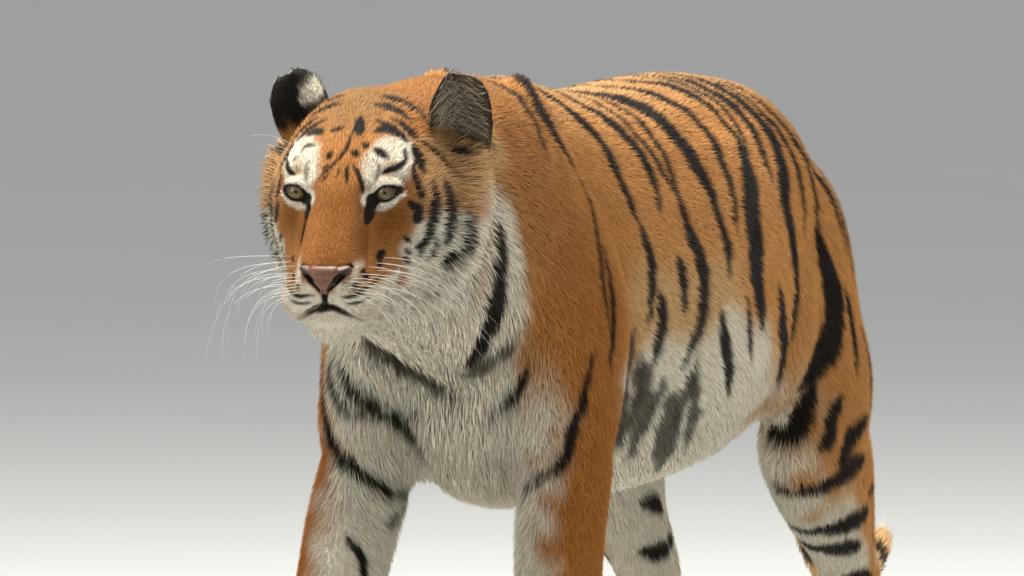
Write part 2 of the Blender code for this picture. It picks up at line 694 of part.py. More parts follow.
# bottom centre of the whole on the origin
every = fur + eyes + [nose] + claws
low = Vector((1e9, 1e9, 1e9))
high = -low
for ob in every:
    for v in ob.data.vertices:
        for k in range(3):
            low[k] = min(low[k], v.co[k])
            high[k] = max(high[k], v.co[k])
move = Matrix.Translation(Vector((-(low.x + high.x) / 2.0, -(low.y + high.y) / 2.0, -low.z)))
for ob in every:
    ob.data.transform(move)
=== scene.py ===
"""The looks of a walking Amur tiger: skin, coat, eyes, nose, claws and whiskers.

Metres, +Z up.  The tiger faces -Y and its left side is +X.  One skin is lofted
from the same named forms as the solids and lies inside them by the coat's
depth.  The coat is tufts of closed mesh that lie along the body.  Skin and coat
take their colours from the same strokes, which are laid on the skin by rays.
"""
import json
import math
from functools import partial

import bmesh
import bpy
import numpy as np
from mathutils import Euler, Matrix, Vector
from mathutils.bvhtree import BVHTree

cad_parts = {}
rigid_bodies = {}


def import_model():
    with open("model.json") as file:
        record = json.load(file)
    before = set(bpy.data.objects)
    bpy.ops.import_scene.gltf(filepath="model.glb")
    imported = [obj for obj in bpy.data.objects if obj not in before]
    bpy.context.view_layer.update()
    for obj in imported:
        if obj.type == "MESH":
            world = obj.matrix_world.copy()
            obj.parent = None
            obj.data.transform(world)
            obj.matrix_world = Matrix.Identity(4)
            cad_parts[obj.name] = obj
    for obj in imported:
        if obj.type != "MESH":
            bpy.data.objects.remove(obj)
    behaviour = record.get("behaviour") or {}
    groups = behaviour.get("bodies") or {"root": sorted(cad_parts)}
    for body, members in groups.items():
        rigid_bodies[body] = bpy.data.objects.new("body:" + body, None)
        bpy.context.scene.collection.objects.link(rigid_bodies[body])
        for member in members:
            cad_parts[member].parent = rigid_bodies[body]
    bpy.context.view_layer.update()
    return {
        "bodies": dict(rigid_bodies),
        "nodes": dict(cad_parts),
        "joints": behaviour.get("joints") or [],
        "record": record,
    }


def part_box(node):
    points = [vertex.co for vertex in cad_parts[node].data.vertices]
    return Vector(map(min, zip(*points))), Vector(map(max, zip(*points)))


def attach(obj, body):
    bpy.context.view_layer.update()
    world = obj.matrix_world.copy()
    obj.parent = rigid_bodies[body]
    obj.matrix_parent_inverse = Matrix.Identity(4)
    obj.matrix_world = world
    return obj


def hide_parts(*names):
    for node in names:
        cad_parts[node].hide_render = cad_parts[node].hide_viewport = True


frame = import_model()
rng = np.random.default_rng(7)

# ---------------------------------------------------------------- sizes
VOXEL = 0.0056          # grain of the skin on the body
RING = 24               # points round a section
HEAD_AT = Vector((-0.0015, -0.984, 0.803))   # midpoint between the eyes
HEAD_PITCH = math.radians(20.0)             # nose carried below level
HEAD_YAW = math.radians(4.5)                # turned to the tiger's left
EYE_APART = 0.105       # between the eye centres
EYE_R = 0.0175          # radius of an eyeball
EYE_AHEAD = -0.003      # an eye's centre from HEAD_AT, along the head's y
AXIS_Z = 0.640          # height of the line that trunk stripes are told round

HEAD = (
    Matrix.Translation(HEAD_AT)
    @ Matrix.Rotation(HEAD_YAW, 4, "Z")
    @ Matrix.Rotation(HEAD_PITCH, 4, "X")
)
HEAD_TURN = np.array(HEAD.to_3x3())
SKULL_MID = np.array([0.0, 0.05, -0.05])    # the head's own middle, that bearings are told from
# the solids stand with the middle of their base on the origin
eye_low, eye_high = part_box("eye_left")
MOVE = (eye_low + eye_high) / 2.0 - HEAD @ Vector((EYE_APART / 2.0, EYE_AHEAD, 0.0))

SIDES = ((1.0, "left"), (-1.0, "right"))
FLESH = ["head", "neck", "trunk", "tail_base", "tail_tip", "ear_left", "ear_right"]
for _, tag in SIDES:
    FLESH += ["fore_leg_" + tag, "fore_paw_" + tag, "hind_leg_" + tag, "hind_paw_" + tag]
# one round of a section, as cosines and sines
ROUND = [(math.cos(2.0 * math.pi * i / RING), math.sin(2.0 * math.pi * i / RING)) for i in range(RING)]


# ---------------------------------------------------------------- mesh helpers
def stand(name, data):
    """A new object of the scene with that data."""
    ob = bpy.data.objects.new(name, data)
    bpy.context.scene.collection.objects.link(ob)
    return ob


def keep(bm, name):
    """Close a bmesh into a mesh object of the scene."""
    mesh = bpy.data.meshes.new(name)
    bm.to_mesh(mesh)
    bm.free()
    return stand(name, mesh)


def spline(rows, steps):
    """Catmull-Rom curve through rows of numbers, steps per span."""
    rows = np.array(rows, dtype=float)
    first = 2.0 * rows[0] - rows[1]
    last = 2.0 * rows[-1] - rows[-2]
    p = np.vstack([first, rows, last])
    out = []
    for i in range(1, len(p) - 2):
        for k in range(steps):
            t = k / steps
            a = 2.0 * p[i]
            b = p[i + 1] - p[i - 1]
            c = 2.0 * p[i - 1] - 5.0 * p[i] + 4.0 * p[i + 1] - p[i + 2]
            d = -p[i - 1] + 3.0 * p[i] - 3.0 * p[i + 1] + p[i + 2]
            out.append(0.5 * (a + b * t + c * t * t + d * t ** 3))
    out.append(rows[-1])
    return out


def skin_rings(rings, name):
    """Loft closed rings of points, with flat ends."""
    bm = bmesh.new()
    loops = [[bm.verts.new(p) for p in ring] for ring in rings]
    n = len(loops[0])
    for a, b in zip(loops, loops[1:]):
        for i in range(n):
            j = (i + 1) % n
            bm.faces.new((a[i], a[j], b[j], b[i]))
    bm.faces.new(list(reversed(loops[0])))
    bm.faces.new(loops[-1])
    bmesh.ops.recalc_face_normals(bm, faces=bm.faces)
    return keep(bm, name)


SQUARE = 0.92           # below 1 a section is fuller than an ellipse


def barrel(rows, name):
    """Loft along Y.  Row: y, x, z top, z bottom, z of the widest, half width."""
    rings = []
    for y, x, top, low, mid, half in spline(rows, 3):
        ring = []
        for c, s in ROUND:
            rise = (top - mid) if s > 0.0 else (mid - low)
            ring.append(Vector((x + half * math.copysign(abs(c) ** SQUARE, c), y,
                                mid + rise * math.copysign(abs(s) ** SQUARE, s))))
        rings.append(ring)
    return skin_rings(rings, name)


def tube(rows, name, mirror=1.0):
    """Loft along a path.  Row: x, y, z, half width across, half depth fore-aft."""
    line = spline(rows, 3)
    rings = []
    for k, row in enumerate(line):
        before = line[max(k - 1, 0)]
        after = line[min(k + 1, len(line) - 1)]
        run = Vector(after[:3] - before[:3]).normalized()
        side = Vector((1.0, 0.0, 0.0))
        side = (side - run * side.dot(run)).normalized()
        fore = run.cross(side)
        mid = Vector(row[:3])
        ring = [mid + side * (row[3] * c) + fore * (row[4] * s) for c, s in ROUND]
        rings.append([Vector((p.x * mirror, p.y, p.z)) for p in ring])
    return skin_rings(rings, name)


def ball(at, radii, name, turn=(0.0, 0.0, 0.0), frame=None, fine=3):
    """Ellipsoid; turn in degrees about its own axes, frame the space it is in."""
    bm = bmesh.new()
    bmesh.ops.create_icosphere(bm, subdivisions=fine, radius=1.0)
    turn = Euler([math.radians(t) for t in turn]).to_matrix().to_4x4()
    m = Matrix.Translation(Vector(at)) @ turn @ Matrix.Diagonal((*radii, 1.0))
    if frame is not None:
        m = frame @ m
    bmesh.ops.transform(bm, matrix=m, verts=bm.verts)
    bmesh.ops.recalc_face_normals(bm, faces=bm.faces)
    return keep(bm, name)


def settle(ob):
    """Turn an object's modifiers into its mesh."""
    deps = bpy.context.evaluated_depsgraph_get()
    mesh = bpy.data.meshes.new_from_object(ob.evaluated_get(deps))
    ob.modifiers.clear()
    old = ob.data
    ob.data = mesh
    bpy.data.meshes.remove(old)


def fuse(obs, name):
    """Join several objects into one mesh."""
    bm = bmesh.new()
    for ob in obs:
        bm.from_mesh(ob.data)
        bpy.data.objects.remove(ob, do_unlink=True)
    return keep(bm, name)


parts = []

# ---------------------------------------------------------------- trunk
parts.append(barrel([
    (-0.640, 0.0, 0.800, 0.540, 0.660, 0.060),
    (-0.620, 0.0, 0.850, 0.480, 0.650, 0.115),
    (-0.570, 0.0, 0.890, 0.435, 0.640, 0.138),
    (-0.500, 0.0, 0.922, 0.408, 0.635, 0.142),
    (-0.420, 0.0, 0.916, 0.402, 0.630, 0.145),
    (-0.320, 0.0, 0.902, 0.400, 0.625, 0.156),
    (-0.220, 0.0, 0.896, 0.400, 0.620, 0.168),
    (-0.120, 0.0, 0.900, 0.402, 0.620, 0.176),
    (-0.020, 0.0, 0.904, 0.406, 0.620, 0.178),
    (0.080, 0.0, 0.906, 0.414, 0.625, 0.172),
    (0.170, 0.0, 0.904, 0.430, 0.640, 0.162),
    (0.250, 0.0, 0.898, 0.460, 0.660, 0.152),
    (0.320, 0.0, 0.890, 0.500, 0.680, 0.145),
    (0.390, 0.0, 0.864, 0.540, 0.700, 0.124),
    (0.450, 0.0, 0.834, 0.590, 0.715, 0.094),
    (0.492, 0.0, 0.808, 0.660, 0.735, 0.056),
], "trunk_form"))

# ---------------------------------------------------------------- neck
parts.append(barrel([
    (-0.480, 0.0, 0.918, 0.500, 0.720, 0.112),
    (-0.560, 0.0, 0.925, 0.520, 0.720, 0.128),
    (-0.640, 0.0, 0.931, 0.555, 0.735, 0.132),
    (-0.700, 0.0, 0.929, 0.585, 0.750, 0.130),
    (-0.760, 0.0, 0.924, 0.608, 0.765, 0.126),
    (-0.820, -0.002, 0.915, 0.625, 0.775, 0.120),
    (-0.880, -0.003, 0.900, 0.640, 0.780, 0.108),
], "neck_form"))

# ---------------------------------------------------------------- tail
parts.append(tube([
    (0.000, 0.390, 0.820, 0.050, 0.045),
    (0.000, 0.470, 0.803, 0.046, 0.044),
    (0.000, 0.548, 0.742, 0.037, 0.036),
    (0.000, 0.602, 0.640, 0.033, 0.033),
    (0.000, 0.632, 0.520, 0.031, 0.031),
    (0.002, 0.658, 0.400, 0.030, 0.030),
    (0.006, 0.705, 0.300, 0.029, 0.029),
    (0.010, 0.785, 0.240, 0.028, 0.028),
    (0.012, 0.872, 0.240, 0.027, 0.027),
    (0.012, 0.930, 0.262, 0.025, 0.025),
    (0.012, 0.958, 0.278, 0.019, 0.019),
    (0.012, 0.970, 0.286, 0.008, 0.008),
], "tail_form"))


# ---------------------------------------------------------------- limbs
# Joints and soles, left and right: x outward, y, z
L_ELBOW = (0.108, -0.535, 0.490)
L_FOREARM = (0.104, -0.545, 0.385)
L_WRIST = (0.092, -0.522, 0.200)
L_PAW = (0.088, -0.545, 0.0)
R_ELBOW = (0.120, -0.572, 0.500)
R_FOREARM = (0.124, -0.632, 0.385)
R_WRIST = (0.116, -0.758, 0.215)
R_PAW = (0.106, -0.838, 0.0)
L_KNEE = (0.122, 0.270, 0.440)
L_HOCK = (0.102, 0.574, 0.244)
L_HIND = (0.094, 0.566, 0.0)
R_KNEE = (0.112, 0.135, 0.455)
R_HOCK = (0.092, 0.375, 0.244)
R_HIND = (0.086, 0.320, 0.0)
# each toe: across, ahead, size, as shares of the paw
TOES = ((-0.370, -0.240, 0.90), (-0.130, -0.375, 1.0), (0.130, -0.375, 1.0), (0.370, -0.240, 0.90))
# each paw: side, place, width, length, degrees turned out
PAWS = {
    "fl": (1.0, L_PAW, 0.120, 0.155, -4.0), "fr": (-1.0, R_PAW, 0.120, 0.155, -4.0),
    "hl": (1.0, L_HIND, 0.108, 0.145, 4.0), "hr": (-1.0, R_HIND, 0.108, 0.145, 2.0),
}


def foreleg(side, swing, elbow, forearm, wrist, ball_at):
    """Shoulder blade to paw; each place is (x outward, y, z)."""
    tag = dict(SIDES)[side]
    # blade and upper arm: the wide shoulder mass
    out = [tube([
        (0.036, -0.480, 0.884, 0.020, 0.050),
        (0.054, -0.510 + swing * 0.2, 0.856, 0.040, 0.092),
        (0.074, -0.530 + swing * 0.3, 0.790, 0.052, 0.120),
        (0.088, -0.525 + swing * 0.5, 0.715, 0.063, 0.130),
        (0.100, -0.515 + swing * 0.8, 0.640, 0.072, 0.128),
        (0.106, -0.525 + swing, 0.570, 0.068, 0.112),
        (elbow[0], elbow[1] - 0.005, elbow[2] + 0.010, 0.060, 0.095),
        (elbow[0] - 0.002, elbow[1], elbow[2] - 0.040, 0.052, 0.075),
    ], "shoulder_" + tag, side)]
    # forearm to wrist to foot
    out.append(tube([
        (elbow[0], elbow[1] + 0.005, elbow[2] + 0.050, 0.052, 0.080),
        (elbow[0], elbow[1], elbow[2] - 0.020, 0.057, 0.082),
        (*forearm, 0.056, 0.070),
        (*((a + b) / 2.0 for a, b in zip(forearm, wrist)), 0.053, 0.060),
        (*wrist, 0.047, 0.048),
        ((wrist[0] + ball_at[0]) / 2.0, (wrist[1] + ball_at[1]) / 2.0 + 0.006,
         (wrist[2] + 0.050) / 2.0, 0.047, 0.045),
        (ball_at[0], ball_at[1] + 0.018, 0.055, 0.052, 0.048),
    ], "forearm_" + tag, side))
    # point of the elbow
    out.append(ball((side * elbow[0], elbow[1] + 0.070, elbow[2] + 0.020),
                    (0.034, 0.036, 0.055), "elbow_" + tag))
    return out


def paw(side, at, width, length, toe_out, tag):
    """Paw under a leg: a broad pad, the knuckles and four toes side by side."""
    frame = (Matrix.Translation(Vector((side * at[0], at[1], 0.0)))
             @ Matrix.Rotation(math.radians(side * toe_out), 4, "Z"))
    out = [
        ball((0.0, 0.010, 0.036), (width * 0.47, length * 0.42, 0.044),
             "pad_" + tag, frame=frame),
        ball((0.0, -length * 0.17, 0.040), (width * 0.42, length * 0.25, 0.038),
             "knuckles_" + tag, turn=(14.0, 0.0, 0.0), frame=frame),
    ]
    for k, (across, ahead, size) in enumerate(TOES):
        out.append(ball((width * across, length * ahead, 0.028),
                        (width * 0.138 * size, length * 0.26 * size, 0.037 * size),
                        "toe_%d_%s" % (k, tag), turn=(8.0, 0.0, -across * 18.0),
                        frame=frame))
    return out


def hindleg(side, knee, hock, ball_at):
    """Hip to paw; each place is (x outward, y, z)."""
    tag = dict(SIDES)[side]
    hip = Vector((0.072, 0.335, 0.770))
    knee = Vector(knee)
    hock = Vector(hock)
    mid = hip.lerp(knee, 0.55)
    # thigh: pelvis to knee, deepest half way down
    out = [tube([
        (0.036, 0.325, 0.830, 0.024, 0.055),
        (0.052, 0.328, 0.790, 0.046, 0.100),
        (0.072, 0.336, 0.735, 0.066, 0.132),
        (0.084, 0.350, 0.670, 0.076, 0.145),
        (mid.x - 0.002, mid.y + 0.062, mid.z - 0.010, 0.073, 0.148),
        (knee.x - 0.006, knee.y + 0.105, knee.z + 0.070, 0.064, 0.142),
        (knee.x - 0.004, knee.y + 0.120, knee.z + 0.005, 0.058, 0.128),
        (knee.x - 0.004, knee.y + 0.150, knee.z - 0.045, 0.048, 0.095),
    ], "thigh_" + tag, side)]
    # flank fold in front of the thigh
    out.append(ball((side * 0.098, knee.y * 0.45 + 0.108, 0.600), (0.066, 0.105, 0.135),
                    "flank_" + tag, turn=(-18.0, 0.0, 0.0)))
    # calf: knee to hock, thin above the heel
    out.append(tube([
        (knee.x - 0.006, knee.y + 0.046, knee.z + 0.075, 0.040, 0.040),
        (knee.x - 0.002, knee.y + 0.022, knee.z + 0.036, 0.050, 0.056),
        (knee.x, knee.y + 0.030, knee.z - 0.002, 0.056, 0.074),
        tuple(knee.lerp(hock, 0.30) + Vector((0.0, 0.030, 0.012))) + (0.055, 0.086),
        tuple(knee.lerp(hock, 0.60) + Vector((0.0, 0.022, 0.010))) + (0.044, 0.066),
        tuple(knee.lerp(hock, 0.82) + Vector((0.0, 0.010, 0.004))) + (0.037, 0.050),
        (hock.x, hock.y, hock.z, 0.034, 0.044),
        (hock.x - 0.002, hock.y + 0.012, hock.z - 0.030, 0.033, 0.042),
    ], "calf_" + tag, side))
    # heel and the cord that runs up from it
    out.append(tube([
        (knee.x - 0.020, knee.y + 0.150, knee.z + 0.110, 0.040, 0.050),
        (knee.x - 0.010, (knee.y + 0.210 + hock.y - 0.082) / 2.0, hock.z + 0.175, 0.042, 0.056),
        (hock.x + 0.006, hock.y - 0.022, hock.z + 0.105, 0.030, 0.040),
        (hock.x, hock.y + 0.026, hock.z + 0.052, 0.022, 0.027),
        (hock.x, hock.y + 0.044, hock.z + 0.012, 0.023, 0.024),
        (hock.x, hock.y + 0.034, hock.z - 0.040, 0.025, 0.028),
    ], "heel_" + tag, side))
    # foot: hock down to the toes
    out.append(tube([
        (hock.x, hock.y + 0.010, hock.z + 0.010, 0.034, 0.044),
        (hock.x - 0.002, hock.y + 0.012, hock.z - 0.050, 0.033, 0.040),
        ((hock.x + ball_at[0]) / 2.0, (hock.y + 0.012 + ball_at[1] + 0.030) / 2.0,
         hock.z * 0.55, 0.036, 0.038),
        (ball_at[0], ball_at[1] + 0.028, 0.080, 0.042, 0.040),
        (ball_at[0], ball_at[1] + 0.014, 0.045, 0.046, 0.044),
    ], "foot_" + tag, side))
    return out


REACH = -0.055          # the right foreleg is carried forward by this much at the elbow
parts += foreleg(1.0, 0.0, L_ELBOW, L_FOREARM, L_WRIST, L_PAW)
parts += foreleg(-1.0, REACH, R_ELBOW, R_FOREARM, R_WRIST, R_PAW)
for tag in ("fl", "fr"):
    parts += paw(*PAWS[tag], tag)
parts += hindleg(1.0, L_KNEE, L_HOCK, L_HIND)
parts += hindleg(-1.0, R_KNEE, R_HOCK, R_HIND)
for tag in ("hl", "hr"):
    parts += paw(*PAWS[tag], tag)


# ---------------------------------------------------------------- head
def head_ring(ahead, top, low, mid, half, pinch):
    """Section of the head: forward, top, low, widest at, half width, narrowing above that."""
    ring = []
    for c, s in ROUND:
        rise = (top - mid) if s > 0.0 else (mid - low)
        wide = half * (1.0 - pinch * max(s, 0.0))
        ring.append(HEAD @ Vector((wide * c, -ahead, mid + rise * s)))
    return ring


HEAD_ROWS = [
    (-0.230, 0.030, -0.100, -0.030, 0.075, 0.0),
    (-0.200, 0.052, -0.130, -0.040, 0.100, 0.0),
    (-0.160, 0.070, -0.150, -0.045, 0.116, 0.05),
    (-0.110, 0.081, -0.158, -0.045, 0.122, 0.10),
    (-0.060, 0.079, -0.156, -0.045, 0.117, 0.14),
    (-0.020, 0.064, -0.150, -0.048, 0.105, 0.16),
    (0.010, 0.040, -0.146, -0.056, 0.089, 0.22),
    (0.035, 0.014, -0.143, -0.068, 0.073, 0.32),
    (0.060, -0.006, -0.130, -0.078, 0.063, 0.36),
    (0.085, -0.020, -0.121, -0.084, 0.056, 0.38),
    (0.105, -0.033, -0.114, -0.086, 0.048, 0.40),
    (0.118, -0.046, -0.107, -0.084, 0.034, 0.38),
]
parts.append(skin_rings([head_ring(*row) for row in spline(HEAD_ROWS, 2)], "skull_form"))
# Soft forms in pairs: place, radii, turns; x, the second and the third turn change with the side
HEAD_PAIRS = {
    "ruff": ((0.095, 0.118, -0.078), (0.043, 0.070, 0.094), (-24.0, 8.0, 0.0)),
    "ruff_low": ((0.074, 0.130, -0.138), (0.044, 0.060, 0.046), (-20.0, 0.0, 0.0)),
    "whisker_pad": ((0.031, -0.083, -0.094), (0.031, 0.036, 0.030), (14.0, 0.0, 12.0)),
    "brow": ((0.050, 0.026, 0.022), (0.034, 0.030, 0.020), (20.0, 18.0, 0.0)),
    "cheek": ((0.070, 0.018, -0.046), (0.030, 0.052, 0.034), (10.0, 0.0, -20.0)),
}
for side, tag in SIDES:
    for name, ((x, y, z), radii, (nod, roll, yaw)) in HEAD_PAIRS.items():
        parts.append(ball((side * x, y, z), radii, name + "_" + tag,
                          turn=(nod, side * roll, side * yaw), frame=HEAD))
parts.append(ball((0.0, -0.080, -0.129), (0.038, 0.034, 0.027), "chin", frame=HEAD))
parts.append(ball((0.0, 0.034, -0.140), (0.058, 0.108, 0.038), "jaw", frame=HEAD))
parts.append(ball((0.0, -0.056, -0.032), (0.034, 0.070, 0.024),
                  "nose_bridge", turn=(30.0, 0.0, 0.0), frame=HEAD))


# ---------------------------------------------------------------- fields over the body
TAIL_FROM = 0.50        # the tail lies behind this y,
TAIL_HALF = 0.046       # within this of the middle
TAIL_LOW = 0.20         # and above this height


def unit(v):
    """Rows of v at length one."""
    return v / (np.linalg.norm(v, axis=-1, keepdims=True) + 1e-12)


def step(low, high, v):
    """Smooth rise from 0 at low to 1 at high."""
    t = np.clip((v - low) / (high - low), 0.0, 1.0)
    return t * t * (3.0 - 2.0 * t)


def ripple(p, size, seed):
    """Smooth noise of about that wavelength, from -1 to 1."""
    waves = np.random.default_rng(seed)
    total = np.zeros(len(p))
    for _ in range(7):
        k = unit(waves.normal(size=3)) * (2.0 * math.pi / size) * waves.uniform(0.7, 1.5)
        total += np.sin(p @ k + waves.uniform(0.0, 6.28))
    return total / 3.2


def to_head(p):
    """Body places in head space."""
    return (p - np.array(HEAD_AT)) @ HEAD_TURN


def from_head(p):
    """Head-space places in body space."""
    return np.array(p) @ HEAD_TURN.T + np.array(HEAD_AT)


def on_head(h, back=0.15, low=-0.21):
    """Whether head-space places belong to the head."""
    return (h[:, 1] < back) & (h[:, 2] > low)


def on_tail(p):
    """Whether places belong to the tail, and not to a leg beside it."""
    return (p[:, 1] > TAIL_FROM) & (np.abs(p[:, 0]) < TAIL_HALF) & (p[:, 2] > TAIL_LOW)


def bearing(across, up, side=1.0):
    """Direction in head space: degrees from straight ahead to a side, degrees up."""
    t = math.radians(across)
    e = math.radians(up)
    return np.array([math.sin(t) * math.cos(e) * side, -math.cos(t) * math.cos(e), math.sin(e)])


def along(p, line):
    """Distance of places from a polyline, and how far along it their nearest points lie."""
    best = np.full(len(p), 9.0)
    way = np.zeros(len(p))
    run = 0.0
    for a, b in zip(line, line[1:]):
        ab = b - a
        size = math.sqrt(ab @ ab)
        t = np.clip((p - a) @ ab / (ab @ ab), 0.0, 1.0)
        away = np.linalg.norm(p - a - t[:, None] * ab, axis=1)
        way = np.where(away < best, run + t * size, way)
        best = np.minimum(best, away)
        run += size
    return best, way


# Axis of each leg from high to low: x outward, y, z
AXES = {
    "fore_left": (1.0, [(0.100, -0.515, 0.640), L_ELBOW, L_FOREARM, L_WRIST, L_PAW]),
    "fore_right": (-1.0, [(0.100, -0.560, 0.640), R_ELBOW, R_FOREARM, R_WRIST, R_PAW]),
    "hind_left": (1.0, [(0.084, 0.350, 0.670), (0.118, 0.385, 0.440), (0.108, 0.500, 0.330),
                        L_HOCK, (0.098, 0.590, 0.120), L_HIND]),
    "hind_right": (-1.0, [(0.084, 0.345, 0.670), (0.108, 0.255, 0.455), (0.100, 0.330, 0.340),
                          R_HOCK, (0.089, 0.370, 0.120), R_HIND]),
}


def axis_at(leg, z):
    """Middle of a leg at heights z."""
    side, line = AXES[leg]
    line = np.array(line)[::-1]
    x = np.interp(z, line[:, 2], line[:, 0]) * side
    y = np.interp(z, line[:, 2], line[:, 1])
    return x, y


def leg_of(p):
    """Which leg each place is on: index into AXES, or -1."""
    out = np.full(len(p), -1)
    x = np.abs(p[:, 0])
    fore = (x > 0.030) & (p[:, 2] < 0.43 + (x - 0.030) * 0.93) & (p[:, 1] < -0.36)
    hind = (x > 0.016) & (p[:, 2] < 0.50 + (x - 0.016) * 0.99) & (p[:, 1] > 0.07)
    left = p[:, 0] > 0.0
    tail = (p[:, 1] > TAIL_FROM) & (x < TAIL_HALF)
    out[fore & left] = 0
    out[fore & ~left] = 1
    out[hind & left & ~tail] = 2
    out[hind & ~left & ~tail] = 3
    return out


def around_leg(p, leg):
    """Degrees round a leg: 0 front, 90 outer, 180 rear, 270 inner."""
    side = AXES[leg][0]
    x, y = axis_at(leg, p[:, 2])
    return np.degrees(np.arctan2((p[:, 0] - x) * side, -(p[:, 1] - y))) % 360.0


# The coat, cm in body space: place, lie of the hair, hair length mm, depth mm, reach cm
COAT_BODY = [
    ((0, -72, 92), (0, 1, -0.05), 20, 9, 12), ((13, -72, 78), (0.15, 0.8, -0.5), 23, 10, 10),
    ((11, -73, 66), (0.15, 0.4, -0.85), 36, 14, 8), ((0, -79, 62), (0, 0.35, -0.95), 38, 15, 8),
    ((0, -68, 54), (0, 0.15, -1), 38, 15, 10), ((11, -64, 52), (0.1, 0.15, -1), 22, 10, 7),
    ((0, -60, 43), (0, 0.7, -0.7), 38, 14, 8), ((0, -50, 92), (0, 1, 0), 18, 8, 12),
    ((0, -20, 90), (0, 1, 0), 18, 8, 15), ((0, 15, 90), (0, 1, 0), 18, 8, 15),
    ((0, 38, 86), (0, 0.85, -0.5), 19, 8, 10), ((17, -52, 75), (0, 0.5, -0.85), 15, 7, 12),
    ((17, -55, 60), (0, 0.25, -1), 14, 6.5, 10), ((17, -20, 72), (0, 0.8, -0.55), 18, 8, 14),
    ((17, -20, 58), (0, 0.7, -0.65), 20, 9, 10), ((16, 8, 62), (0, 0.65, -0.7), 20, 9, 10),
    ((0, -20, 41), (0, 0.8, -0.6), 38, 14, 10), ((9, -20, 44), (0, 0.7, -0.7), 38, 14, 9),
    ((0, 2, 42), (0, 0.75, -0.6), 38, 14, 10), ((0, 18, 46), (0, 0.7, -0.6), 33, 12, 9),
    ((12, 12, 50), (0, 0.45, -0.9), 33, 12, 7), ((15, 30, 76), (0, 0.55, -0.8), 18, 8, 12),
    ((17, 30, 60), (0, 0.35, -0.9), 16, 7, 12), ((10, 44, 70), (0, 0.3, -1), 18, 8, 9),
    ((9, 45, 56), (0, 0.1, -1), 20, 9, 8),
]
# The same on the head, in head space
COAT_HEAD = [
    ((0, -10, -4), (0, 1, 0.3), 6, 1.5, 3), ((0, -6, -1), (0, 0.9, 0.5), 7, 1.6, 4),
    ((3, -6, -4), (0.4, 0.9, -0.1), 7, 1.6, 3), ((0, -2, 2), (0, 0.5, 0.85), 7, 2, 4),
    ((0, 2, 6), (0, 0.9, 0.45), 10, 3, 4), ((0, 9, 8), (0, 1, 0), 14, 5, 5),
    ((5, 1, 4), (0.35, 0.6, 0.7), 7, 2.4, 3), ((9, 4, 1), (0.5, 0.85, 0.1), 12, 4, 4),
    ((6, -2, -3), (0.6, 0.75, -0.2), 7, 2, 3), ((10, 5, -5), (0.45, 0.8, -0.4), 20, 8, 5),
    ((12, 12, -2), (0.4, 0.8, -0.3), 34, 12, 5), ((11, 12, -12), (0.35, 0.5, -0.8), 43, 17, 6),
    ((6, 1, -13), (0.35, 0.6, -0.7), 20, 8, 5), ((4, -8, -8.5), (0.75, 0.6, -0.3), 7, 1.5, 3),
    ((0, -11, -9), (0, 0.2, -1), 5, 1.2, 2), ((0, -7, -13.5), (0, 0.55, -0.8), 11, 3, 3.5),
    ((0, 4, -15), (0, 0.7, -0.7), 27, 10, 6),
]
# Down each leg: height z, lie toward the rear, hair length mm, depth mm
COAT_FORE = [(0.49, 0.25, 16, 6), (0.36, 0.2, 14, 5.5), (0.24, 0.1, 12, 5), (0.13, -0.1, 11, 4),
             (0.05, -0.7, 10, 3)]
COAT_HIND = [(0.46, 0.3, 17, 7), (0.36, 0.5, 16, 6), (0.27, 0.4, 14, 5), (0.15, -0.1, 12, 4.5),
             (0.05, -0.7, 10, 3)]
LEG_REACH = 0.07
TAIL_COAT = (0.026, 0.008, 0.045)           # length, depth, reach
# Middle of the tail: y, z
TAIL_LINE = [(0.44, 0.812), (0.548, 0.742), (0.602, 0.640), (0.632, 0.520), (0.658, 0.400),
             (0.705, 0.300), (0.785, 0.240), (0.872, 0.240), (0.958, 0.278)]


def coat_anchors():
    """Every place, lie, length, depth and reach of the coat, in metres."""
    rows = []
    for table, placed in ((COAT_BODY, False), (COAT_HEAD, True)):
        for at, lie, length, depth, reach in table:
            for side in ((1.0, -1.0) if at[0] else (1.0,)):
                p = np.array([at[0] * side, at[1], at[2]]) / 100.0
                d = np.array([lie[0] * side, lie[1], lie[2]], dtype=float)
                if placed:
                    p = from_head(p)
                    d = HEAD_TURN @ d
                rows.append((p, d, length / 1000.0, depth / 1000.0, reach / 100.0))
    for leg in AXES:
        for z, back, length, depth in (COAT_FORE if leg[0] == "f" else COAT_HIND):
            x, y = axis_at(leg, z)
            rows.append((np.array([x, y, z]), np.array([0.0, back, -1.0]),
                         length / 1000.0, depth / 1000.0, LEG_REACH))
    for (y0, z0), (y1, z1) in zip(TAIL_LINE, TAIL_LINE[1:]):
        rows.append((np.array([0.005, (y0 + y1) / 2.0, (z0 + z1) / 2.0]),
                     np.array([0.0, y1 - y0, z1 - z0]), *TAIL_COAT))
    places = np.array([r[0] for r in rows])
    lies = unit(np.array([r[1] for r in rows]))
    return places, lies, np.array([r[2:] for r in rows])


PLACES, LIES, TRAITS = coat_anchors()


def coat_at(p):
    """Lie, length and depth of the coat at places p."""
    lie = np.zeros((len(p), 3))
    traits = np.zeros((len(p), 2))
    total = np.zeros(len(p))
    for place, way, (length, depth, reach) in zip(PLACES, LIES, TRAITS):
        away = ((p - place) ** 2).sum(axis=1) / reach ** 2
        w = np.exp(-away) + 1e-9 / (1.0 + away)
        lie += w[:, None] * way
        traits += w[:, None] * np.array([length, depth])
        total += w
    traits /= total[:, None]
    return unit(lie), traits[:, 0], traits[:, 1]


